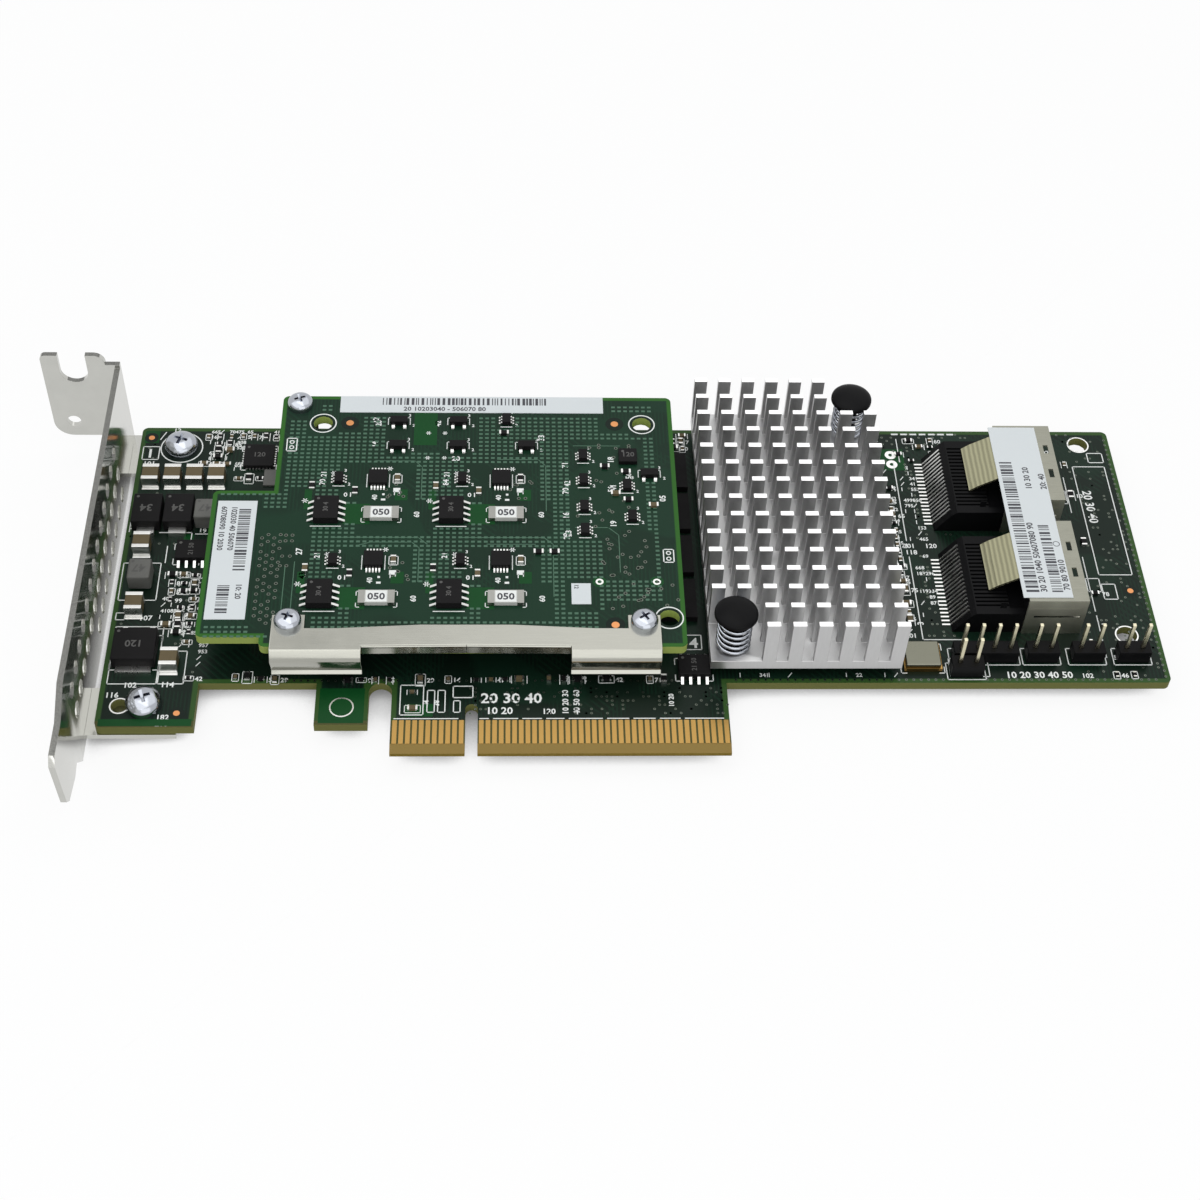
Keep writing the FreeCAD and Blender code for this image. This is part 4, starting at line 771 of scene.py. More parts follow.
def solid_boxes(node):
    """The box of each loose solid of a carried-over node, in millimetres, from left to right."""
    mesh = nodes_of[node].data
    keys, owner = {}, []
    for vertex in mesh.vertices:
        owner.append(keys.setdefault(tuple(round(value * 1e6) for value in vertex.co), len(keys)))
    parent = list(range(len(keys)))

    def top(index):
        while parent[index] != index:
            parent[index] = parent[parent[index]]
            index = parent[index]
        return index

    for face in mesh.polygons:
        first = top(owner[face.vertices[0]])
        for vertex in face.vertices[1:]:
            parent[top(owner[vertex])] = first
    groups = {}
    for vertex, index in zip(mesh.vertices, owner):
        groups.setdefault(top(index), []).append(vertex.co)
    boxes = [(tuple(min(co[a] for co in group) / MM for a in range(3)),
              tuple(max(co[a] for co in group) / MM for a in range(3))) for group in groups.values()]
    return sorted(boxes)


def node_box(node):
    """The box of a whole carried-over node, in millimetres."""
    return [[value / MM for value in corner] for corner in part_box(node)]


def middle(box):
    (a, b, _), (c, d, _) = box
    return (a + c) / 2, (b + d) / 2


FINISHES = make_finishes()


# ---- Metal pieces: screws, push pins and springs ----

def pan_screw(shape, x, y, shank, low, seat, radius, height):
    """A pan-head screw with a threaded shank; its cross recess is cut afterwards."""
    profile = [(shank * 0.55, low)]
    turns = max(3, int((seat - low) / 0.5))
    for step in range(turns):
        z = low + 0.2 + (seat - low - 0.3) * step / turns
        profile += [(shank, z), (shank * 0.86, z + 0.22)]
    profile += [(shank * 0.95, seat), (radius, seat), (radius, seat + height * 0.34)]
    for step in range(1, 9):
        turn = math.pi / 2 * step / 9
        profile.append((radius * (0.22 + 0.78 * math.cos(turn)), seat + height * (0.34 + 0.66 * math.sin(turn))))
    profile.append((radius * 0.2, seat + height))
    shape.lathe(x, y, profile, 40)


def cut_crosses(thing, places):
    """Cuts a cross recess into each screw head, with a Boolean that is applied."""
    cross = Shape("screw_steel")
    for x, y, top, radius, turn in places:
        for quarter in (0, 1):
            way = turn + quarter * math.pi / 2
            along, side = Vector((math.cos(way), math.sin(way))), Vector((-math.sin(way), math.cos(way)))
            points = []
            for level, reach, half in ((top - 1.0, radius * 0.16, radius * 0.06),
                                       (top + 0.5, radius * 0.62, radius * 0.12)):
                for a, b in ((-1, -1), (1, -1), (1, 1), (-1, 1)):
                    spot = Vector((x, y)) + along * reach * a + side * half * b
                    points.append((spot.x, spot.y, level))
            cross.add(points, [(3, 2, 1, 0)] + BOX_FACES[1:])
    cutter = placed("cross_cutter", cross.plain_mesh("cross_cutter"))
    cut = thing.modifiers.new("Cross recess", "BOOLEAN")
    cut.operation = "DIFFERENCE"
    cut.solver = "EXACT"
    cut.use_self = True
    cut.object = cutter
    done = bpy.data.meshes.new_from_object(thing.evaluated_get(bpy.context.evaluated_depsgraph_get()))
    thing.modifiers.remove(cut)
    bpy.data.objects.remove(cutter)
    done.polygons.foreach_set("use_smooth", [True] * len(done.polygons))
    done.set_sharp_from_angle(angle=math.radians(35))
    thing.data = done


def make_screws():
    for name, node, shank, height in (("bracket_pan_screws", "bracket_screws", 1.45, 2.3),
                                      ("daughter_pan_screws", "daughter_screws", 1.2, 1.7)):
        shape = Shape("screw_steel")
        places = []
        for index, (low, high) in enumerate(solid_boxes(node)):
            x, y = middle((low, high))
            radius = (high[0] - low[0]) / 2
            pan_screw(shape, x, y, shank, low[2], high[2] - height, radius, height)
            places.append((x, y, high[2], radius, 0.35 + index * 0.9))
        thing = shape.finish(name, "screw_steel", smooth=True)
        cut_crosses(thing, places)
        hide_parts(node)


def spring_tree():
    """A round wire on a spiral, from named sizes."""
    tree, source = new_tree("push_pin_spring", "Places", ("Coil Radius", "Wire Radius", "Rise", "Turns"))
    nodes, links = tree.nodes, tree.links
    spiral = nodes.new("GeometryNodeCurveSpiral")
    spiral.inputs["Resolution"].default_value = 28
    links.new(source.outputs["Turns"], spiral.inputs["Rotations"])
    links.new(source.outputs["Coil Radius"], spiral.inputs["Start Radius"])
    links.new(source.outputs["Coil Radius"], spiral.inputs["End Radius"])
    links.new(source.outputs["Rise"], spiral.inputs["Height"])
    wire = nodes.new("GeometryNodeCurvePrimitiveCircle")
    wire.inputs["Resolution"].default_value = 10
    links.new(source.outputs["Wire Radius"], wire.inputs["Radius"])
    sweep = nodes.new("GeometryNodeCurveToMesh")
    sweep.inputs["Fill Caps"].default_value = True
    links.new(spiral.outputs[0], sweep.inputs["Curve"])
    links.new(wire.outputs[0], sweep.inputs["Profile Curve"])
    put = nodes.new("GeometryNodeInstanceOnPoints")
    links.new(source.outputs["Places"], put.inputs["Points"])
    links.new(sweep.outputs[0], put.inputs["Instance"])
    close_tree(tree, put.outputs[0], "screw_steel")
    return tree


def make_push_pins():
    """Barbed nylon pins with domed caps, and the coil springs under the caps."""
    shape = Shape("black_nylon")
    places = []
    for low, high in solid_boxes("push_pins"):
        x, y = middle((low, high))
        radius, top = (high[0] - low[0]) / 2, high[2]
        collar = top - 1.5
        rim = collar + 0.42
        profile = [(0.25, low[2]), (0.9, low[2] + 0.5), (1.72, -0.35), (1.74, -0.05), (1.3, 0.0), (1.34, collar - 0.5),
                   (2.0, collar), (radius, collar + 0.1), (radius, rim)]
        for step in range(1, 10):
            turn = math.pi / 2 * step / 10
            profile.append((radius * math.cos(turn), rim + 1.05 * math.sin(turn)))
        profile.append((0.1, top - 0.02))
        shape.lathe(x, y, profile, 48)
        places.append((x, y))
    shape.finish("push_pin_bodies", "black_nylon", smooth=True, replaces=("push_pins",))
    (_, _, foot), (_, _, head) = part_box("push_pin_springs")
    clearance = 0.0003
    mesh = bpy.data.meshes.new("spring_places")
    mesh.from_pydata([(x * MM, y * MM, foot + clearance) for x, y in places], [], [])
    grown("spring_coils", mesh, spring_tree(),
          {"Coil Radius": 0.00245, "Wire Radius": 0.00028, "Rise": head - foot - 2 * clearance, "Turns": 5.0},
          smooth=True, replaces=("push_pin_springs",))


# ---- Labels and the strip's lip ----

# For each label, its bars and its numbers. Places are shares of the label's width and depth, and a number's height is
# a share of the shorter side.
#   bars: (left, bottom, right, top, whether they follow each other along X, seed)
#   numbers: (text, left, bottom, height, turn in degrees)
LABEL_PRINT = {
    "serial_label": ([(0.16, 0.47, 0.80, 0.90, True, 3)],
                     [("20 10203040 - 506070 80", 0.24, 0.11, 0.25, 0)]),
    "side_label": ([(0.56, 0.40, 0.86, 0.94, False, 5), (0.24, 0.05, 0.54, 0.30, False, 7)],
                   [("102030 40 506070", 0.37, 0.95, 0.145, -90), ("60708090 10 2030", 0.11, 0.95, 0.145, -90),
                    ("10: 20", 0.70, 0.29, 0.145, -90)]),
    "square_label": ([],
                     [("12", 0.16, 0.95, 0.22, -90)]),
    "port_label": ([(0.08, 0.03, 0.34, 0.80, False, 11), (0.60, 0.03, 0.82, 0.42, False, 13)],
                   [("30 20 1040 50607080 90", 0.50, 0.03, 0.135, 90), ("70 80 9010", 0.97, 0.04, 0.13, 90),
                    ("20: 40", 0.97, 0.62, 0.13, 90), ("10 30 20", 0.66, 0.62, 0.13, 90)]),
}


def barcode(shape, x0, y0, x1, y1, along_x, seed, low, high):
    """Bars of unlike widths that stand for nothing."""
    chance = random.Random(seed)
    start, end = (x0, x1) if along_x else (y0, y1)
    spot = start
    while spot < end - 0.6:
        width = chance.choice((0.16, 0.16, 0.3, 0.45))
        if along_x:
            shape.block((spot, y0, low), (spot + width, y1, high))
        else:
            shape.block((x0, spot, low), (x1, spot + width, high))
        spot += width + chance.choice((0.18, 0.26, 0.42))


def make_label_print():
    shape = Shape("ink_black")
    for node, (bars, numbers) in LABEL_PRINT.items():
        (x0, y0, _), (x1, y1, top) = node_box(node)
        low, high = top - 0.01, top + 0.012
        wide, deep = x1 - x0, y1 - y0
        for left, bottom, right, upper, along_x, seed in bars:
            barcode(shape, x0 + wide * left, y0 + deep * bottom, x0 + wide * right, y0 + deep * upper, along_x, seed,
                    low, high)
        for text, left, bottom, height, turn in numbers:
            shape.digits(text, x0 + wide * left, y0 + deep * bottom, low, min(wide, deep) * height, math.radians(turn))
        if node == "port_label":
            shape.ring(x0 + wide * 0.90, y0 + deep * 0.30, 0.45, 0.56, low, high)
    shape.finish("label_print", "package_black")


def make_strip_lip():
    """The turned-down edge of the strip between its two flanges."""
    (x0, y0, _), (x1, _, high) = node_box("retention_strip")
    flange, bend = 13.7, 1.1
    first, last, centre = x0 + flange, x1 - flange, (x0 + x1) / 2
    ends = y0 + bend + 0.45
    crown = ends + 0.15
    lip = Shape("strip_steel")
    for low, top, depth in ((DAUGHTER_FACE - 1.2, high, 0.30), (DAUGHTER_FACE + 0.05, high - 0.05, 0.50)):
        for (xa, ya), (xb, yb) in (((first, ends), (centre, crown)), ((centre, crown), (last, ends))):
            lip.prism([(xa, ya), (xb, yb), (xb, yb + depth), (xa, ya + depth)], low, top)
    lip.finish("strip_lip", "bracket_steel", bevel=0.10)


# ---- The daughter board ----

# In this part and the next, places in tables are in millimetres from the card's left edge and from its contact edge.
QUIET_AREAS = ((35.0, 44.5, 47.0, 52.0), (55.0, 44.5, 67.0, 52.0), (35.0, 27.0, 47.0, 34.0), (55.0, 27.0, 67.0, 34.0),
               (38.0, 19.0, 49.5, 26.5), (58.0, 19.0, 69.0, 26.5), (38.0, 37.0, 49.5, 44.0), (58.0, 37.0, 69.0, 44.0),
               (42.0, 55.0, 57.0, 66.0), (72.0, 36.0, 84.0, 58.0), (27.0, 19.0, 31.0, 47.0), (22.5, 16.5, 27.0, 42.0),
               (76.5, 27.5, 85.0, 38.0), (77.0, 14.0, 90.0, 22.5))
BOARD_HOLES = ((31.2, 61.6), (83.8, 61.6), (86.4, 19.7))
SIGHTING_DOTS = ((35.6, 61.7), (79.3, 61.7), (78.1, 18.3))
DAUGHTER_TRACES = (
    ((27.2, 20.4), (27.2, 30.0)), ((28.6, 19.0), (28.6, 31.0)), ((30.2, 24.0), (30.2, 27.6)),
    ((34.2, 36.2), (47.6, 36.2)), ((47.6, 36.2), (49.0, 34.8)), ((38.4, 34.6), (40.2, 35.2)),
    ((40.2, 35.2), (46.6, 35.2)), ((46.6, 35.2), (47.8, 34.0)), ((47.8, 34.0), (47.8, 27.0)),
    ((54.2, 36.2), (67.4, 36.2)), ((67.4, 36.2), (68.8, 34.8)), ((68.8, 34.8), (68.8, 24.0)),
    ((58.4, 34.8), (66.0, 34.8)), ((47.8, 51.6), (47.8, 44.6)), ((67.8, 52.0), (67.8, 42.0)),
    ((60.0, 53.4), (66.6, 53.4)), ((66.6, 53.4), (67.8, 52.0)), ((40.2, 53.0), (46.6, 53.0)),
    ((46.6, 53.0), (47.8, 51.6)), ((72.4, 56.6), (80.0, 56.6)), ((72.4, 38.4), (77.6, 38.4)),
    ((77.6, 38.4), (79.2, 36.8)), ((79.2, 36.8), (79.2, 29.0)))
DAUGHTER_VIAS = ((26.9, 36.6), (27.9, 36.6), (26.9, 35.4), (27.9, 35.4), (26.6, 32.2), (27.8, 32.2), (26.4, 30.2),
                 (27.4, 30.2))
DAUGHTER_VIA_AREAS = (((76.5, 28.0, 83.5, 36.5), 22), ((77.5, 21.0, 88.0, 27.0), 16), ((72.5, 36.5, 82.5, 57.0), 34),
                      ((42.0, 44.5, 46.5, 49.0), 8), ((62.0, 44.5, 66.5, 49.0), 8), ((42.0, 27.0, 46.5, 31.0), 8))
CHANNEL_CHIPS = ((30.3, 29.5), (37.2, 28.4), (43.9, 31.3))
LOOSE_CHIPS = ((61.0, 60.2), (77.4, 52.6), (80.8, 51.4), (79.0, 46.6), (85.0, 44.0), (81.0, 45.2), (66.5, 33.9),
               (69.0, 33.9))
DAUGHTER_NUMBERS = (
    ("12", 40.3, 62.6, 90), ("14", 40.3, 57.0, 90), ("20", 52.5, 54.0, 0), ("33", 67.6, 58.6, 90),
    ("71", 71.4, 52.4, 90), ("70", 71.4, 46.6, 90), ("16", 71.4, 41.2, 90), ("22", 71.4, 36.8, 90),
    ("18", 78.9, 53.6, 90), ("41", 79.1, 47.4, 90), ("19", 78.9, 39.4, 90), ("05", 87.0, 45.0, 90),
    ("27", 29.6, 33.4, 90), ("43", 30.4, 28.4, 90))


def clear_of(x, y, zones, margin=0.0):
    return all(x < a - margin or x > c + margin or y < b - margin or y > d + margin for a, b, c, d in zones)


def taken(nodes, margin, face):
    """The ground, with a margin, that the solids of these nodes cover above a face."""
    return [(x0 - margin, y0 - margin, x1 + margin, y1 + margin)
            for node in nodes for (x0, y0, _), (x1, y1, top) in solid_boxes(node) if top > face]


def daughter_zones():
    """Where chips, labels, holes and bare patches keep the copper pattern away."""
    zones = taken(("switch_chips", "monitor_chips", "sense_resistors", "transistors", "logic_chips", "serial_label",
                   "side_label", "square_label", "daughter_screws"), 0.9, DAUGHTER_FACE)
    for x, y in BOARD_HOLES + SIGHTING_DOTS:
        x += BOARD_LEFT
        zones.append((x - 2.4, y - 2.4, x + 2.4, y + 2.4))
    return zones


def lay_dashes(zones):
    """The grid of small copper islands that shows through the lacquer."""
    left = BOARD_LEFT
    (_, y0, _), (x1, y1, _) = node_box("daughter_board")
    quiet = [(left + a, b, left + c, d) for a, b, c, d in QUIET_AREAS]
    for dx, dy in CHANNEL_STEPS:
        quiet.append((left + 36.0 + dx, 21.8 + dy, left + 39.6 + dx, 25.8 + dy))
        quiet.append((left + 43.4 + dx, 26.4 + dy, left + 45.8 + dx, 29.2 + dy))
    pitch_x, pitch_y = 1.0, 0.92
    wing_depth, wing_end = 32.0, left + 26.0
    dashes = []
    y = y0 + 2.0
    while y < y1 - 1.5:
        x = left + 16.2
        while x < x1 - 3.4:
            on_board = x > wing_end or y < y0 + wing_depth
            if on_board and clear_of(x, y, zones) and clear_of(x, y, quiet):
                dashes.append((x, y, DAUGHTER_FACE + 0.004))
            x += pitch_x
        y += pitch_y
    scatter("copper_dashes", dashes, (0.60, 0.40, 0.024), "copper_dash")


def make_daughter_copper():
    """Poured patches, sighting dots, hole rims, test pads and traces."""
    left = BOARD_LEFT
    pours = Shape("pour_green", "mask_shadow", "silk_white", "copper_dot", "tinned_copper", "copper_dash")
    base, skin = DAUGHTER_FACE - 0.01, DAUGHTER_FACE + 0.010
    for dx, dy in CHANNEL_STEPS:
        for x0, y0, x1, y1 in ((35.6, 21.4, 39.8, 25.8), (43.6, 26.6, 45.6, 29.0), (29.2, 24.6, 30.4, 29.0)):
            pours.block((left + x0 + dx, y0 + dy, base), (left + x1 + dx, y1 + dy, skin))
    pours.block((left + 46.2, 56.6, base), (left + 50.0, 65.8, skin))
    for x, y in SIGHTING_DOTS:
        pours.disc(left + x, y, 1.5, base, skin, "mask_shadow", 28)
        pours.disc(left + x, y, 0.62, base, skin + 0.012, "copper_dot")
    for x, y in BOARD_HOLES:
        pours.ring(left + x, y, 1.62, 1.86, base, skin + 0.004, "mask_shadow")
        pours.ring(left + x, y, 2.02, 2.22, base, skin + 0.016, "silk_white", 36)
    for x, y in ((75.9, 27.0), (84.8, 27.0)):
        pours.disc(left + x, y, 1.1, base, skin, sides=24)
        pours.ring(left + x, y, 0.32, 0.62, base, skin + 0.012, "tinned_copper", 20)
    for (xa, ya), (xb, yb) in DAUGHTER_TRACES:
        pours.line(left + xa, ya, left + xb, yb, 0.14, base, skin - 0.004, "copper_dash")
    pours.finish("daughter_copper", "board_green")


def lay_daughter_vias(zones):
    """A staggered block of vias on the wing, and loose ones among the chips."""
    left = BOARD_LEFT
    chance = random.Random(21)
    vias = []
    for column in range(4):
        for step in range(13):
            if (column * 5 + step * 3) % 7:
                vias.append((left + 23.2 + column * 0.95, 18.6 + step * 1.45 + (0.72 if column % 2 else 0.0)))
    vias += [(left + x, y) for x, y in DAUGHTER_VIAS]
    for (x0, y0, x1, y1), count in DAUGHTER_VIA_AREAS:
        for _ in range(count):
            x, y = chance.uniform(left + x0, left + x1), chance.uniform(y0, y1)
            if clear_of(x, y, zones, -0.3):
                vias.append((x, y))
    scatter("via_rings", [(x, y, DAUGHTER_FACE + 0.006) for x, y in vias], (0.58, 0.58, 0.028), "via_tin",
            True)
    # Painted shade: a dark disc on the board stands for the shade inside each via's hole.
    scatter("via_hole_shade", [(x, y, DAUGHTER_FACE + 0.012) for x, y in vias], (0.38, 0.38, 0.028), "mask_shadow",
            True)


def make_daughter_pattern():
    zones = daughter_zones()
    lay_dashes(zones)
    make_daughter_copper()
    lay_daughter_vias(zones)


def wire_monitor_chips(leads, silk):
    for box in solid_boxes("monitor_chips"):
        (x0, y0, _), (x1, y1, _) = box
        x, _ = middle(box)
        for step in range(5):
            spot = x + (step - 2) * 0.5
            leads.gull(spot, y1, DAUGHTER_FACE, (0, 1), 0.95, 0.26, 0.8)
            leads.gull(spot, y0, DAUGHTER_FACE, (0, -1), 0.95, 0.26, 0.8)
        for side in (x0 - 0.3, x1 + 0.3):
            silk.stroke(side, y0 - 0.2, side, y1 - 0.4, 0.14)
        silk.number("40", x - 0.05, y0 - 3.05, 0.85, 90)
        silk.patch(x + 0.75, y0 - 2.0, x + 1.15, y0 - 1.6)
        silk.patch(x + 0.60, y0 - 3.15, x + 1.30, y0 - 2.75)
        silk.stroke(x1 + 1.2, y0 - 1.9, x1 + 1.2, y0 - 1.2, 0.14)
        silk.stroke(x1 + 2.0, y0 - 1.6, x1 + 2.0, y0 - 0.9, 0.14)


def wire_transistors(leads, silk):
    for box in solid_boxes("transistors"):
        (x0, y0, _), (x1, y1, _) = box
        x, _ = middle(box)
        leads.gull(x, y1, DAUGHTER_FACE, (0, 1), 0.6, 0.42, 0.9)
        leads.gull(x - 0.95, y0, DAUGHTER_FACE, (0, -1), 0.85, 0.50, 0.9)
        leads.gull(x + 0.95, y0, DAUGHTER_FACE, (0, -1), 0.85, 0.50, 0.9)
        for side, way in ((x0 - 0.35, 1), (x1 + 0.35, -1)):
            silk.stroke(side, y0 + 0.3, side, y1 + 0.45, 0.14)
            silk.stroke(side, y1 + 0.45, side + way * 0.9, y1 + 0.45, 0.14)


def wire_logic_chips(leads, silk):
    for box in solid_boxes("logic_chips"):
        (x0, y0, _), (x1, _, _) = box
        _, y = middle(box)
        for step in (-0.65, 0.0, 0.65):
            leads.gull(x0, y + step, DAUGHTER_FACE, (-1, 0), 0.55, 0.30, 0.8)
            leads.gull(x1, y + step, DAUGHTER_FACE, (1, 0), 0.55, 0.30, 0.8)
        silk.stroke(x0 - 0.2, y0 - 0.35, x1 + 0.2, y0 - 0.35)


def print_small_chips(silk):
    for index, box in enumerate(solid_boxes("transistors") + solid_boxes("logic_chips")):
        (x0, y0, _), (x1, y1, _) = box
        silk.number("3", x1 + 0.05, y1 + 0.75, 0.62)
        silk.number("2", x1 + 0.75, y0 - 0.2, 0.62)
        if index % 2:
            silk.number(str(21 + 7 * index % 70), x0 - 1.5, y0 - 0.1, 0.95, 90)
    for (x0, y0, _), (x1, y1, _) in solid_boxes("switch_chips"):
        silk.stroke(x0 - 0.4, y0 - 0.5, x1 + 0.4, y0 - 0.5)
        silk.star(x0 - 1.6, y1 + 0.1, 0.45)


def make_sense_resistors(silk):
    """White ceramic blocks with solder-plated ends and a plain value on top."""
    shape = Shape("white_ceramic", "solder_end", "silk_white")
    marks = Shape("ink_black")
    end = 1.05
    for box in solid_boxes("sense_resistors"):
        (x0, y0, low), (x1, y1, high) = box
        shape.block((x0 + end, y0 + 0.05, low), (x1 - end, y1 - 0.05, high))
        shape.block((x0 + end + 0.15, y0 + 0.2, high - 0.02), (x1 - end - 0.15, y1 - 0.2, high + 0.02), "silk_white")
        shape.block((x0, y0, low), (x0 + end, y1, high - 0.02), "solder_end")
        shape.block((x1 - end, y0, low), (x1, y1, high - 0.02), "solder_end")
        marks.digits("050", middle(box)[0] - 1.35, y0 + 0.62, high + 0.012, 1.3, weight=0.04)
        silk.corners(box, 0.35, 0.8, 0.5, 0.14)
    shape.finish("sense_resistor_bodies", "white_ceramic", bevel=0.05, replaces=("sense_resistors",))
    marks.finish("resistor_marks", "package_black")


def print_channels(silk):
    left = BOARD_LEFT
    for dx, dy in CHANNEL_STEPS:
        silk.star(left + 33.6 + dx, 32.6 + dy, 0.4)
        silk.star(left + 42.6 + dx, 33.6 + dy, 0.4)
        silk.number("0", left + 35.4 + dx, 27.4 + dy, 0.9)
        silk.number("1", left + 36.2 + dx, 27.4 + dy, 0.9)
        silk.number("21", left + 32.4 + dx, 31.8 + dy, 0.9, 90)
        silk.number("60", left + 47.6 + dx, 22.9 + dy, 0.9, 90)
        silk.outline(left + 43.2 + dx, 30.4 + dy, left + 44.6 + dx, 32.2 + dy, 0.13)
        silk.patch(left + 43.3 + dx, 28.4 + dy, left + 44.4 + dx, 29.3 + dy)


def print_daughter_marks(silk):
    left = BOARD_LEFT
    for text, x, y, turn in DAUGHTER_NUMBERS:
        silk.number(text, left + x, y - 0.9, 1.0, turn)
    for x, y, wide, tall in ((26.4, 56.6, 1.6, 2.9), (86.9, 32.4, 1.6, 2.7)):
        silk.outline(left + x - wide / 2, y - tall / 2, left + x + wide / 2, y + tall / 2, 0.18)
        silk.hoop(left + x, y + 0.6, 0.25, 0.42, 16)
        silk.hoop(left + x, y - 0.6, 0.25, 0.42, 16)
    for y in (61.6, 55.9):
        for x in (48.6, 51.3):
            silk.star(left + x, y - 2.2, 0.32)


def make_daughter_parts():
    """Leads, small parts and prints of the daughter board."""
    leads = Shape("tinned_copper")
    silk = Print(DAUGHTER_FACE)
    wire_monitor_chips(leads, silk)
    wire_transistors(leads, silk)
    wire_logic_chips(leads, silk)
    print_small_chips(silk)
    make_sense_resistors(silk)
    print_channels(silk)
    chips = [(BOARD_LEFT + x + dx, y + dy, math.pi / 2, 1.0) for dx, dy in CHANNEL_STEPS for x, y in CHANNEL_CHIPS]
    chips += [(BOARD_LEFT + x, y - 0.9, 0.0, 1.0) for x, y in LOOSE_CHIPS]
    small_parts("daughter_passives", chips, DAUGHTER_FACE, (1.5, 0.8, 0.5))
    print_daughter_marks(silk)
    leads.finish("small_chip_leads", "tinned_copper")
    silk.finish("daughter_silk", "label_paper")


def small_parts(name, spots, face, size):
    """Chip resistors and capacitors with plated ends, at (x, y, turn, share of the size)."""
    length, width, height = size
    chance = random.Random(len(spots))
    kinds = {"tan_ceramic": [], "package_black": []}
    ends = []
    for x, y, turn, share in spots:
        kinds[chance.choice(tuple(kinds))].append((x, y, face + height * share / 2, turn, (share, share, share)))
        for way in (-1, 1):
            reach = way * (length - width * 0.3) / 2 * share
            ends.append((x + reach * math.cos(turn), y + reach * math.sin(turn), face + height * share * 0.52, turn,
                         (share, share, share)))
    for finish, places in kinds.items():
        scatter(f"{name}_{finish}", places, (length * 0.96, width, height), finish)
    scatter(name + "_ends", ends, (width * 0.36, width * 1.06, height * 1.04), "tinned_copper")


# ---- The main board ----

# Areas with small parts: (left, bottom, right, top), pitch across and up, seed, share of the places that are filled.
SMALL_PART_AREAS = (((11.2, 56.2, 23.8, 66.8), (1.9, 1.6), 31, 0.8), ((8.6, 19.5, 14.0, 37.5), (1.8, 1.7), 32, 0.85),
                    ((13.0, 14.0, 24.0, 15.4), (1.8, 1.5), 33, 0.8), ((47.2, 7.9, 47.3, 12.0), (2.0, 3.4), 34, 1.0),
                    ((24.0, 13.6, 92.0, 14.4), (2.2, 1.4), 35, 0.6), ((122.9, 24.0, 126.0, 56.0), (2.4, 1.6), 36, 0.8),
                    ((128.0, 60.8, 134.0, 66.5), (1.9, 1.6), 37, 0.6), ((90.0, 14.2, 92.4, 16.0), (1.6, 1.4), 38, 0.9),
                    ((151.6, 24.0, 156.0, 62.0), (2.2, 3.6), 39, 0.4),
                    ((150.5, 14.4, 162.0, 22.0), (2.9, 2.2), 40, 0.3),
                    ((1.6, 16.0, 7.6, 17.2), (1.8, 1.6), 41, 0.7), ((89.6, 62.0, 92.4, 66.6), (1.5, 1.5), 42, 0.8))
# Plain numbers: text, place, turn in degrees, height.
BOARD_NUMBERS = (
    ("1", 1.15, 61.0, 0, 2.0), ("101", 0.9, 59.1, 0, 1.0), ("12", 5.2, 67.0, 0, 0.9), ("107", 4.2, 25.5, 0, 1.0),
    ("102", 3.4, 12.2, 0, 1.0), ("114", 9.0, 12.3, 0, 1.0), ("116", 0.9, 10.3, 0, 1.0), ("201", 9.0, 4.9, 0, 0.95),
    ("182", 9.0, 6.1, 0, 0.95), ("19", 11.6, 44.0, 0, 0.95), ("101", 12.0, 37.0, 0, 1.0), ("41", 0.6, 46.0, -90, 1.1),
    ("4", 90.0, 20.0, 0, 2.0), ("14", 89.4, 32.0, 90, 1.2), ("6", 153.2, 51.5, 0, 2.0), ("45", 90.2, 17.0, 0, 1.0),
    ("0", 153.0, 44.6, 90, 1.6), ("1", 153.3, 29.0, 90, 1.6), ("120", 66.9, 7.1, 0, 1.0),
    ("10 20 30 40 50", 138.9, 13.95, 0, 1.25), ("102", 150.8, 13.95, 0, 0.9), ("20 30 40", 158.1, 54.0, -90, 1.5),
    ("107", 152.0, 62.4, 0, 1.0), ("57", 156.5, 17.6, 0, 0.9), ("201", 126.2, 41.0, 0, 0.95),
    ("120", 129.8, 41.0, 0, 0.95), ("118", 126.4, 39.6, 0, 0.95), ("201", 124.2, 22.0, 0, 0.9),
    ("3", 127.4, 24.6, 90, 1.0), ("12", 123.6, 65.4, 0, 0.9))
EDGE_NUMBERS = (
    ("20 30 40", 57.6, 9.2, 0, 1.9), ("10 20", 58.4, 7.1, 0, 1.3), ("10 20 30", 70.9, 7.0, 90, 0.95),
    ("40 50 60", 72.6, 7.0, 90, 0.95), ("10 20", 87.0, 8.4, 90, 0.8), ("44", 49.7, 8.6, 90, 0.8),
    ("38", 51.3, 8.6, 90, 0.8))
BOARD_OUTLINES = (
    (0.6, 60.5, 3.3, 63.5), (89.4, 19.6, 91.9, 22.5), (152.6, 51.0, 155.2, 53.9), (157.4, 35.2, 162.9, 59.6),
    (0.9, 12.9, 8.3, 24.2), (8.5, 12.9, 12.4, 19.3), (0.5, 29.6, 6.4, 37.4), (0.6, 25.6, 2.0, 27.0),
    (10.6, 41.6, 13.6, 47.0), (155.0, 31.6, 157.2, 34.4), (157.4, 30.0, 159.6, 33.2), (130.3, 14.2, 136.4, 17.8),
    (163.0, 60.6, 160.4, 62.8))
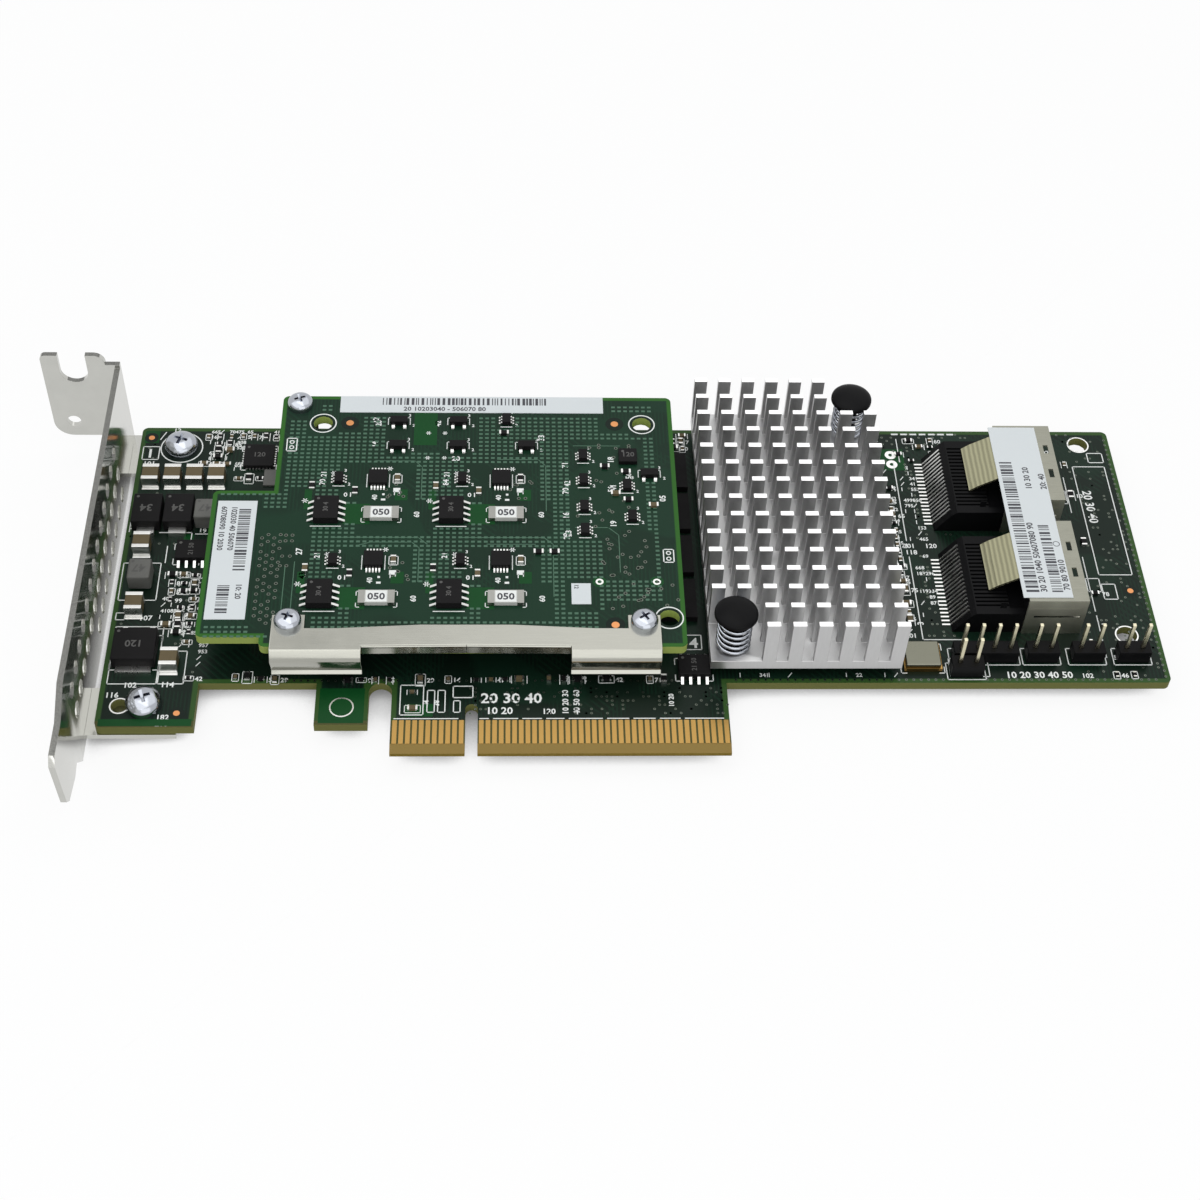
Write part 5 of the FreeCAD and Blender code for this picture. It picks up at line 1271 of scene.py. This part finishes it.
BOARD_STROKES = (
    (7.0, 41.0, 7.0, 37.5), (0.5, 44.2, 0.5, 50.8), (5.4, 44.0, 10.5, 44.0), (10.6, 44.0, 10.6, 50.8),
    (11.2, 43.7, 14.2, 43.7), (126.9, 21.6, 126.9, 39.0), (126.9, 42.6, 126.9, 60.5), (155.4, 18.0, 155.4, 26.5),
    (155.4, 27.5, 155.4, 39.0), (155.4, 49.0, 155.4, 57.0), (126.9, 21.6, 134.0, 21.6), (128.0, 60.6, 128.0, 66.0),
    (89.8, 16.0, 92.2, 16.0))
CONTACT_LINE_Y = 6.2
CONTACT_LINES = ((44.6, 54.2), (57.5, 58.8), (59.6, 63.2), (64.0, 66.8), (67.6, 70.2), (71.0, 76.0), (76.8, 80.0),
                 (80.8, 84.0), (84.8, 87.8), (88.6, 94.4))
EDGE_OUTLINES = ((45.4, 6.9, 48.9, 12.6), (49.5, 7.4, 50.6, 11.6), (51.1, 7.4, 52.2, 11.6), (53.4, 10.2, 56.4, 12.4),
                 (53.5, 7.4, 54.5, 9.6))
CROWDED_AREAS = ((124.9, 23.0, 126.4, 60.0), (127.6, 22.6, 129.4, 60.0), (134.6, 40.2, 137.4, 42.6),
                 (11.0, 16.4, 15.4, 37.0), (11.6, 58.0, 23.6, 67.0), (93.0, 14.2, 122.0, 14.9), (3.4, 38.0, 6.0, 41.6),
                 (7.4, 24.6, 11.0, 30.0))
BOARD_POURS = ((0.6, 64.4, 3.0, 67.2), (0.5, 4.9, 14.4, 6.2), (11.0, 38.0, 13.6, 41.0), (122.6, 58.6, 128.8, 63.6),
               (46.2, 6.6, 50.4, 9.0), (9.4, 38.6, 11.0, 43.6), (33.2, 5.4, 40.0, 12.0), (3.0, 16.6, 7.0, 24.0))
# Straight rows of vias: the first one, the step to the next and their number.
VIA_ROWS = ((96.8, 13.6, 1.15, 0, 58), (164.0, 14.2, 0, 1.15, 46), (26.0, 13.5, 1.05, 0, 64))
# Loose vias: area, number of draws, seed.
BOARD_VIA_AREAS = (((56.0, 6.8, 95.0, 12.6), 130, 51), ((128.0, 22.0, 134.5, 40.0), 60, 52),
                   ((128.0, 43.0, 134.5, 60.0), 50, 53), ((151.0, 14.5, 164.0, 34.0), 80, 54),
                   ((156.0, 34.0, 164.0, 67.0), 60, 55), ((1.0, 14.0, 15.0, 66.0), 110, 56),
                   ((123.0, 60.0, 140.0, 67.4), 60, 57), ((143.0, 64.5, 160.0, 67.4), 26, 58))


def main_zones():
    """Where the larger parts keep small parts, print and vias away."""
    return taken(("input_capacitors", "power_diodes", "power_diode_terminals", "inductors", "regulator",
                  "regulator_tab", "driver_chips", "quad_chips", "oscillator_base", "header_housings",
                  "lower_port_housing", "upper_port_housing", "lower_port_cage", "upper_port_cage", "controller_chip",
                  "memory_chips", "bracket_screws"), 0.5, FACE + 0.1)


def cluster(area, pitch, zones, seed, fill=0.8):
    """Places for small parts on a loose grid in an area given from the board's left edge."""
    chance = random.Random(seed)
    x0, y0, x1, y1 = area
    spots = []
    y = y0
    while y < y1:
        x = x0
        while x < x1:
            if chance.random() < fill:
                turn = chance.choice((0.0, math.pi / 2))
                spot = (BOARD_LEFT + x + chance.uniform(-0.15, 0.15), y + chance.uniform(-0.15, 0.15), turn,
                        chance.choice((0.62, 0.62, 0.8, 1.0)))
                if clear_of(spot[0], spot[1], zones, 0.6):
                    spots.append(spot)
            x += pitch[0]
        y += pitch[1]
    return spots


def print_part_marks(silk, spots, zones):
    """Outlines, side strokes and short numbers around the small parts."""
    chance = random.Random(8)
    for x, y, turn, share in spots:
        half_x, half_y = (1.1, 0.66) if turn == 0.0 else (0.66, 1.1)
        low_x, high_x = x - half_x * share - 0.1, x + half_x * share + 0.1
        low_y, high_y = y - half_y * share, y + half_y * share
        kind = chance.random()
        if kind < 0.45:
            silk.outline(low_x, low_y - 0.05, high_x, high_y + 0.05, 0.12)
        elif kind < 0.8:
            silk.stroke(low_x, low_y, low_x, high_y, 0.13)
            silk.stroke(high_x, low_y, high_x, high_y, 0.13)
        if chance.random() < 0.45 and clear_of(high_x + 0.8, y, zones, 0.4):
            silk.number(str(chance.randint(1, 99)), high_x + 0.2, y - 0.45, 0.85, chance.choice((0, 0, 90)))


def print_board_marks(silk):
    """The fixed print: the ring at the screw, numbers, outlines and the broken line above the contacts."""
    left = BOARD_LEFT
    silk.hoop(left + 6.95, 63.3, 3.35, 3.55, 40)
    silk.stroke(left + 4.0, 66.9, left + 3.2, 65.2)
    for text, x, y, turn, height in BOARD_NUMBERS:
        silk.number(text, left + x, y, height, turn)
    for x0, y0, x1, y1 in BOARD_OUTLINES:
        silk.outline(left + x0, y0, left + x1, y1)
    for x0, y0, x1, y1 in BOARD_STROKES:
        silk.stroke(left + x0, y0, left + x1, y1)
    for x0, x1 in CONTACT_LINES:
        silk.stroke(left + x0, CONTACT_LINE_Y, left + x1, CONTACT_LINE_Y)
    for x0, y0, x1, y1 in EDGE_OUTLINES:
        silk.outline(left + x0, y0, left + x1, y1)
    for text, x, y, turn, height in EDGE_NUMBERS:
        silk.number(text, left + x, y, height, turn)


def print_crowded_areas(silk, zones):
    """Rows of very small numbers and ticks between the parts."""
    left = BOARD_LEFT
    chance = random.Random(61)
    for x0, y0, x1, y1 in CROWDED_AREAS:
        y = y0
        while y < y1:
            x = x0
            while x < x1:
                if chance.random() < 0.55 and clear_of(left + x, y, zones, 0.5):
                    if chance.random() < 0.5:
                        silk.number(str(chance.randint(10, 999)), left + x, y, 0.72)
                    else:
                        silk.stroke(left + x, y, left + x + chance.choice((0.0, 0.5)) + 0.02, y + 0.7, 0.14)
                x += 1.5
            y += 1.25


def print_around_chips(silk):
    """Outlines of the headers, corner brackets of the chips, and the rows of boxes and dashes by the ports."""
    left = BOARD_LEFT
    for (x0, y0, _), (x1, y1, _) in solid_boxes("header_housings"):
        silk.outline(x0 - 0.45, y0 - 0.4, x1 + 0.45, y1 + 0.4)
    for node in ("quad_chips", "driver_chips", "regulator", "oscillator_base"):
        for box in solid_boxes(node):
            if box[0][2] < FACE + 0.2:
                silk.corners(box, 0.45, 1.2, 0.8, 0.16)
    for step in range(18):
        y = 24.5 + step * 1.75
        silk.outline(left + 122.9, y, left + 124.3, y + 1.1, 0.12)
    for step in range(7):
        silk.stroke(left + 127.5 + step * 1.6, 67.2, left + 128.3 + step * 1.6, 67.2, 0.35)


def make_board_copper():
    """Poured patches, sighting dots, hole rims and one grey gap pad."""
    left = BOARD_LEFT
    copper = Shape("pour_green", "mask_shadow", "copper_dot", "tinned_copper", "grey_ferrite")
    low, skin = FACE - 0.01, FACE + 0.012
    for x0, y0, x1, y1 in BOARD_POURS:
        copper.block((left + x0, y0, low), (left + x1, y1, skin))
    for x, y in ((1.7, 65.6), (12.0, 7.3), (161.9, 31.8)):
        copper.disc(left + x, y, 1.15, low, skin + 0.004, "mask_shadow", 24)
        copper.disc(left + x, y, 0.5, low, skin + 0.016, "copper_dot")
    for x, y in ((126.6, 62.2), (126.6, 60.0)):
        copper.ring(left + x, y, 0.35, 0.95, low, skin + 0.012, "tinned_copper", 24)
    copper.block((left + 21.2, 54.4, low), (left + 24.1, 58.0, skin + 0.3), "grey_ferrite")
    for x, y, radius in ((3.3, 8.7, 1.3), (159.3, 64.8, 1.65), (159.5, 22.6, 1.65), (36.6, 8.4, 1.65)):
        copper.ring(left + x, y, radius, radius + 0.22, low, skin + 0.006, "tinned_copper")
    copper.finish("board_copper", "board_dark")


def lay_board_vias(spots, zones):
    """Rows of vias along the edges, and loose ones on a grid, clear of the parts."""
    left, grid = BOARD_LEFT, 0.8
    vias = []
    for x, y, step_x, step_y, count in VIA_ROWS:
        vias += [(left + x + index * step_x, y + index * step_y) for index in range(count)]
    for (x0, y0, x1, y1), count, seed in BOARD_VIA_AREAS:
        chance = random.Random(seed)
        for _ in range(count):
            x = left + round(chance.uniform(x0, x1) / grid) * grid
            y = round(chance.uniform(y0, y1) / grid) * grid
            if clear_of(x, y, zones, 0.1) and all(abs(x - a) + abs(y - b) > 1.1 for a, b, *_ in spots):
                vias.append((x, y))
    scatter("board_via_rings", [(x, y, FACE + 0.004) for x, y in vias], (0.40, 0.40, 0.026), "via_tin",
            True)
    # Painted shade: a dark disc on the board stands for the shade inside each via's hole.
    scatter("board_via_hole_shade", [(x, y, FACE + 0.009) for x, y in vias], (0.22, 0.22, 0.026), "mask_shadow",
            True)


def make_board_parts():
    """The small parts, printed marks, bare copper and vias of the main board."""
    zones = main_zones()
    spots = []
    for area, pitch, seed, fill in SMALL_PART_AREAS:
        spots += cluster(area, pitch, zones, seed, fill)
    small_parts("board_passives", spots, FACE, (1.5, 0.8, 0.55))
    silk = Print(FACE)
    print_part_marks(silk, spots, zones)
    print_board_marks(silk)
    print_crowded_areas(silk, zones)
    print_around_chips(silk)
    silk.finish("board_silk", "label_paper")
    make_board_copper()
    lay_board_vias(spots, zones)


def make_power_parts():
    """Ceramic capacitors with plated ends, and the square controllers' short leads."""
    shape = Shape("tan_ceramic", "tinned_copper")
    for (x0, y0, low), (x1, y1, high) in solid_boxes("input_capacitors"):
        end = (y1 - y0) * 0.2
        shape.block((x0 + 0.05, y0 + end, low), (x1 - 0.05, y1 - end, high - 0.03))
        shape.block((x0, y0, low), (x1, y0 + end, high), "tinned_copper")
        shape.block((x0, y1 - end, low), (x1, y1, high), "tinned_copper")
        shape.block((x0 - 0.05, y0 - 0.45, low), (x1 + 0.05, y0, low + 0.12), "tinned_copper")
    shape.finish("ceramic_capacitors", "tan_ceramic", bevel=0.16, replaces=("input_capacitors",))
    leads = Shape("tinned_copper")
    long, short, out = 0.16, 0.13, 0.12
    for box in solid_boxes("quad_chips"):
        (x0, y0, _), (x1, y1, _) = box
        x, y = middle(box)
        for step in range(8):
            offset = (step - 3.5) * 0.55
            for spot, half in (((x + offset, y0 - out), (short, long)), ((x + offset, y1 + out), (short, long)),
                               ((x0 - out, y + offset), (long, short)), ((x1 + out, y + offset), (long, short))):
                leads.block((spot[0] - half[0], spot[1] - half[1], FACE),
                            (spot[0] + half[0], spot[1] + half[1], FACE + 0.2))
    leads.finish("quad_chip_leads", "tinned_copper")


# ---- Drive ports, chip numbers and the solder side ----

def make_port_trim():
    """Folded seams on the cages' sides, and a rib on each moulded housing."""
    plates = Shape("nickel_cage")
    for node in ("lower_port_cage", "upper_port_cage"):
        (x0, y0, _), (x1, _, _) = node_box(node)
        plates.block((x0 + 5.0, y0 - 0.02, 8.9), (x1 - 0.4, y0 + 0.1, 9.05))
        plates.block((x0 + 5.3, y0 - 0.03, 7.5), (x1 - 0.7, y0 + 0.1, 7.62))
    plates.finish("port_cage_seams", "nickel_cage")
    ribs = Shape("black_nylon")
    for node in ("lower_port_housing", "upper_port_housing"):
        (x0, y0, _), (_, _, high) = node_box(node)
        ribs.block((x0 + 6.6, y0 - 0.02, high - 1.7), (x0 + 7.6, y0 + 0.05, high - 0.4))
    ribs.finish("port_housing_ribs", "black_nylon")


def make_chip_print():
    """Faint plain numbers and a round mark on the larger cases."""
    shape = Shape("chip_print")
    for node, text, size, turn in (("power_diodes", "34", 1.5, 180), ("regulator", "120", 1.3, 180),
                                   ("inductors", "47", 1.5, 180), ("quad_chips", "120", 1.0, 0),
                                   ("switch_chips", "30 4", 0.8, 90), ("driver_chips", "21 50", 0.8, 90)):
        for low, high in solid_boxes(node):
            if high[0] - low[0] < 2.0:
                continue
            x, y = middle((low, high))
            way = math.radians(turn)
            back = len(text) * size * 0.33
            shape.digits(text, x - back * math.cos(way) + size * 0.4 * math.sin(way),
                         y - back * math.sin(way) - size * 0.4 * math.cos(way), high[2] - 0.005, size, way)
            shape.disc(low[0] + 0.7, high[1] - 0.7, 0.25, high[2] - 0.005, high[2] + 0.012, sides=16)
    shape.finish("chip_print", "package_black")


def make_solder_side():
    """The solder cones on the back, where the header pins come through."""
    cone = [(0.32, -0.62), (0.36, -0.5), (0.52, -0.2), (0.85, 0.0), (0.8, 0.02)]
    joints = Shape("tinned_copper")
    for box in solid_boxes("header_pins"):
        joints.lathe(*middle(box), cone, 16)
    joints.finish("solder_fillets", "tinned_copper", smooth=True)


aim_camera()
light_the_room()
lay_floor()
dress_cad()
soften_cad()
make_chip_print()
make_screws()
make_push_pins()
make_label_print()
make_strip_lip()
make_daughter_pattern()
make_daughter_parts()
make_board_parts()
make_power_parts()
make_port_trim()
make_solder_side()
